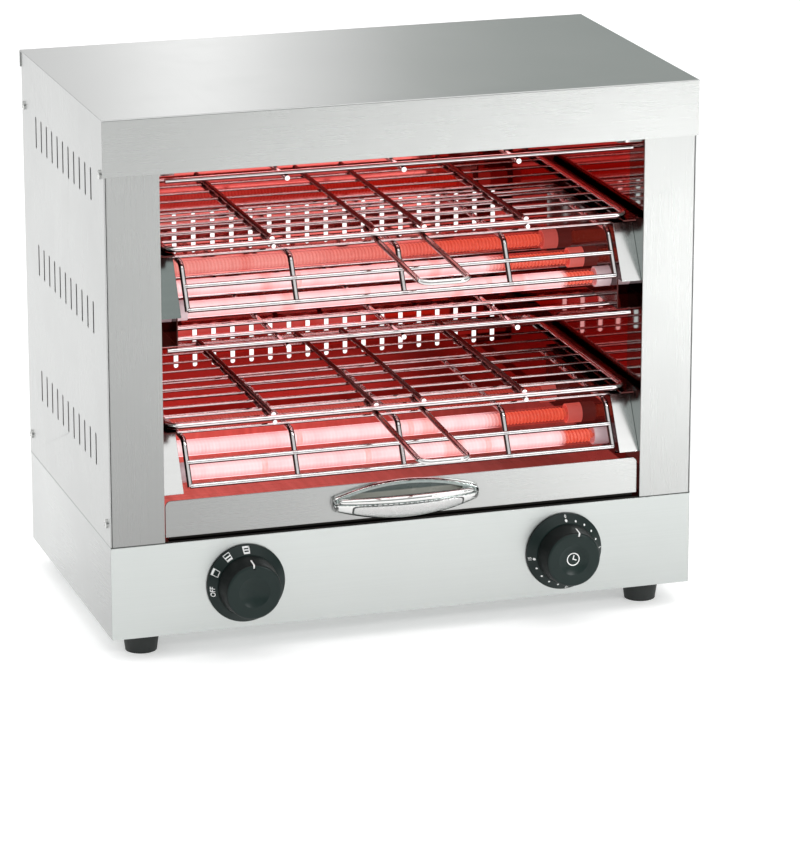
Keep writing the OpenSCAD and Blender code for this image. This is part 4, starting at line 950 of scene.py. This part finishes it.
def area_light(name, place, target, size, power):
    data = bpy.data.lights.new(name, "AREA")
    data.shape = "RECTANGLE"
    data.size, data.size_y, data.energy = size, size, power
    obj = bpy.data.objects.new(name, data)
    scene.collection.objects.link(obj)
    obj.location = place
    obj.rotation_euler = (Vector(target) - Vector(place)).to_track_quat("-Z", "Y").to_euler()
    obj.visible_camera = False


def studio_sky():
    """Pale studio: white above, a soft bright panel behind, and a dark band low in front."""
    world = bpy.data.worlds.new("studio_sky")
    scene.world = world
    world.use_nodes = True
    tree = world.node_tree
    add, link = tree.nodes.new, tree.links.new
    parts = add("ShaderNodeSeparateXYZ")
    link(add("ShaderNodeTexCoord").outputs["Generated"], parts.inputs["Vector"])

    def span(value, low, high):
        node = add("ShaderNodeMapRange")
        node.inputs["From Min"].default_value, node.inputs["From Max"].default_value = low, high
        link(value, node.inputs["Value"])
        return node.outputs["Result"]

    def mix(factor, a, b):
        node = add("ShaderNodeMix")
        node.data_type = "RGBA"
        link(factor, node.inputs[0])
        for socket, part in ((node.inputs[6], a), (node.inputs[7], b)):
            if isinstance(part, tuple):
                socket.default_value = (*part, 1.0)
            else:
                link(part, socket)
        return node.outputs[2]

    turn = add("ShaderNodeMath")
    turn.operation = "ARCTAN2"
    link(parts.outputs["X"], turn.inputs[0])
    link(parts.outputs["Y"], turn.inputs[1])
    first, last = math.radians(9), math.radians(24)
    ramp = add("ShaderNodeValToRGB")
    ramp.color_ramp.interpolation = "EASE"
    stops = ((10.5, (0.85, 0.85, 0.85)), (13.2, (1.05, 1.05, 1.05)), (15.0, (1.7, 1.7, 1.7)),
             (16.4, (1.1, 1.1, 1.1)), (18.0, (0.60, 0.63, 0.61)), (19.5, (0.49, 0.53, 0.51)),
             (21.0, (0.47, 0.51, 0.49)))
    points = ramp.color_ramp.elements
    while len(points) < len(stops):
        points.new(0.5)
    for point, (degrees, colour) in zip(points, stops):
        point.position = (math.radians(degrees) - first) / (last - first)
        point.color = (*colour, 1.0)
    link(span(turn.outputs["Value"], first, last), ramp.inputs["Fac"])
    low = mix(span(parts.outputs["Y"], 0.1, -0.25), ramp.outputs["Color"], (0.24, 0.26, 0.25))
    sky = mix(span(parts.outputs["Z"], 0.26, 0.55), low, (1.0, 1.0, 1.0))
    link(sky, tree.nodes["Background"].inputs["Color"])
    tree.nodes["Background"].inputs["Strength"].default_value = 1.0


CAMERA_PLACE = (-0.9283, -2.9920, 1.0712)
CAMERA_PITCH, CAMERA_YAW = 73.386, -17.638
LENS, SENSOR, FAR_END = 188.84, 36.0, 60.0


def camera():
    data = bpy.data.cameras.new("camera")
    data.lens, data.sensor_width = LENS, SENSOR
    data.clip_end = FAR_END
    obj = bpy.data.objects.new("camera", data)
    scene.collection.objects.link(obj)
    obj.location = CAMERA_PLACE
    obj.rotation_euler = (math.radians(CAMERA_PITCH), 0.0, math.radians(CAMERA_YAW))
    scene.camera = obj


floor()
studio_sky()
area_light("key_overhead", (0.3, -0.4, 2.6), (0.1, 0.0, 0.0), 3.0, 26)
area_light("right_floor", (0.75, -1.0, 0.55), (0.75, -1.0, 0.0), 0.3, 10.0)
area_light("left_rear", (-1.7, 1.3, 1.5), (-0.45, 0.6, 0.0), 1.2, 12)
camera()
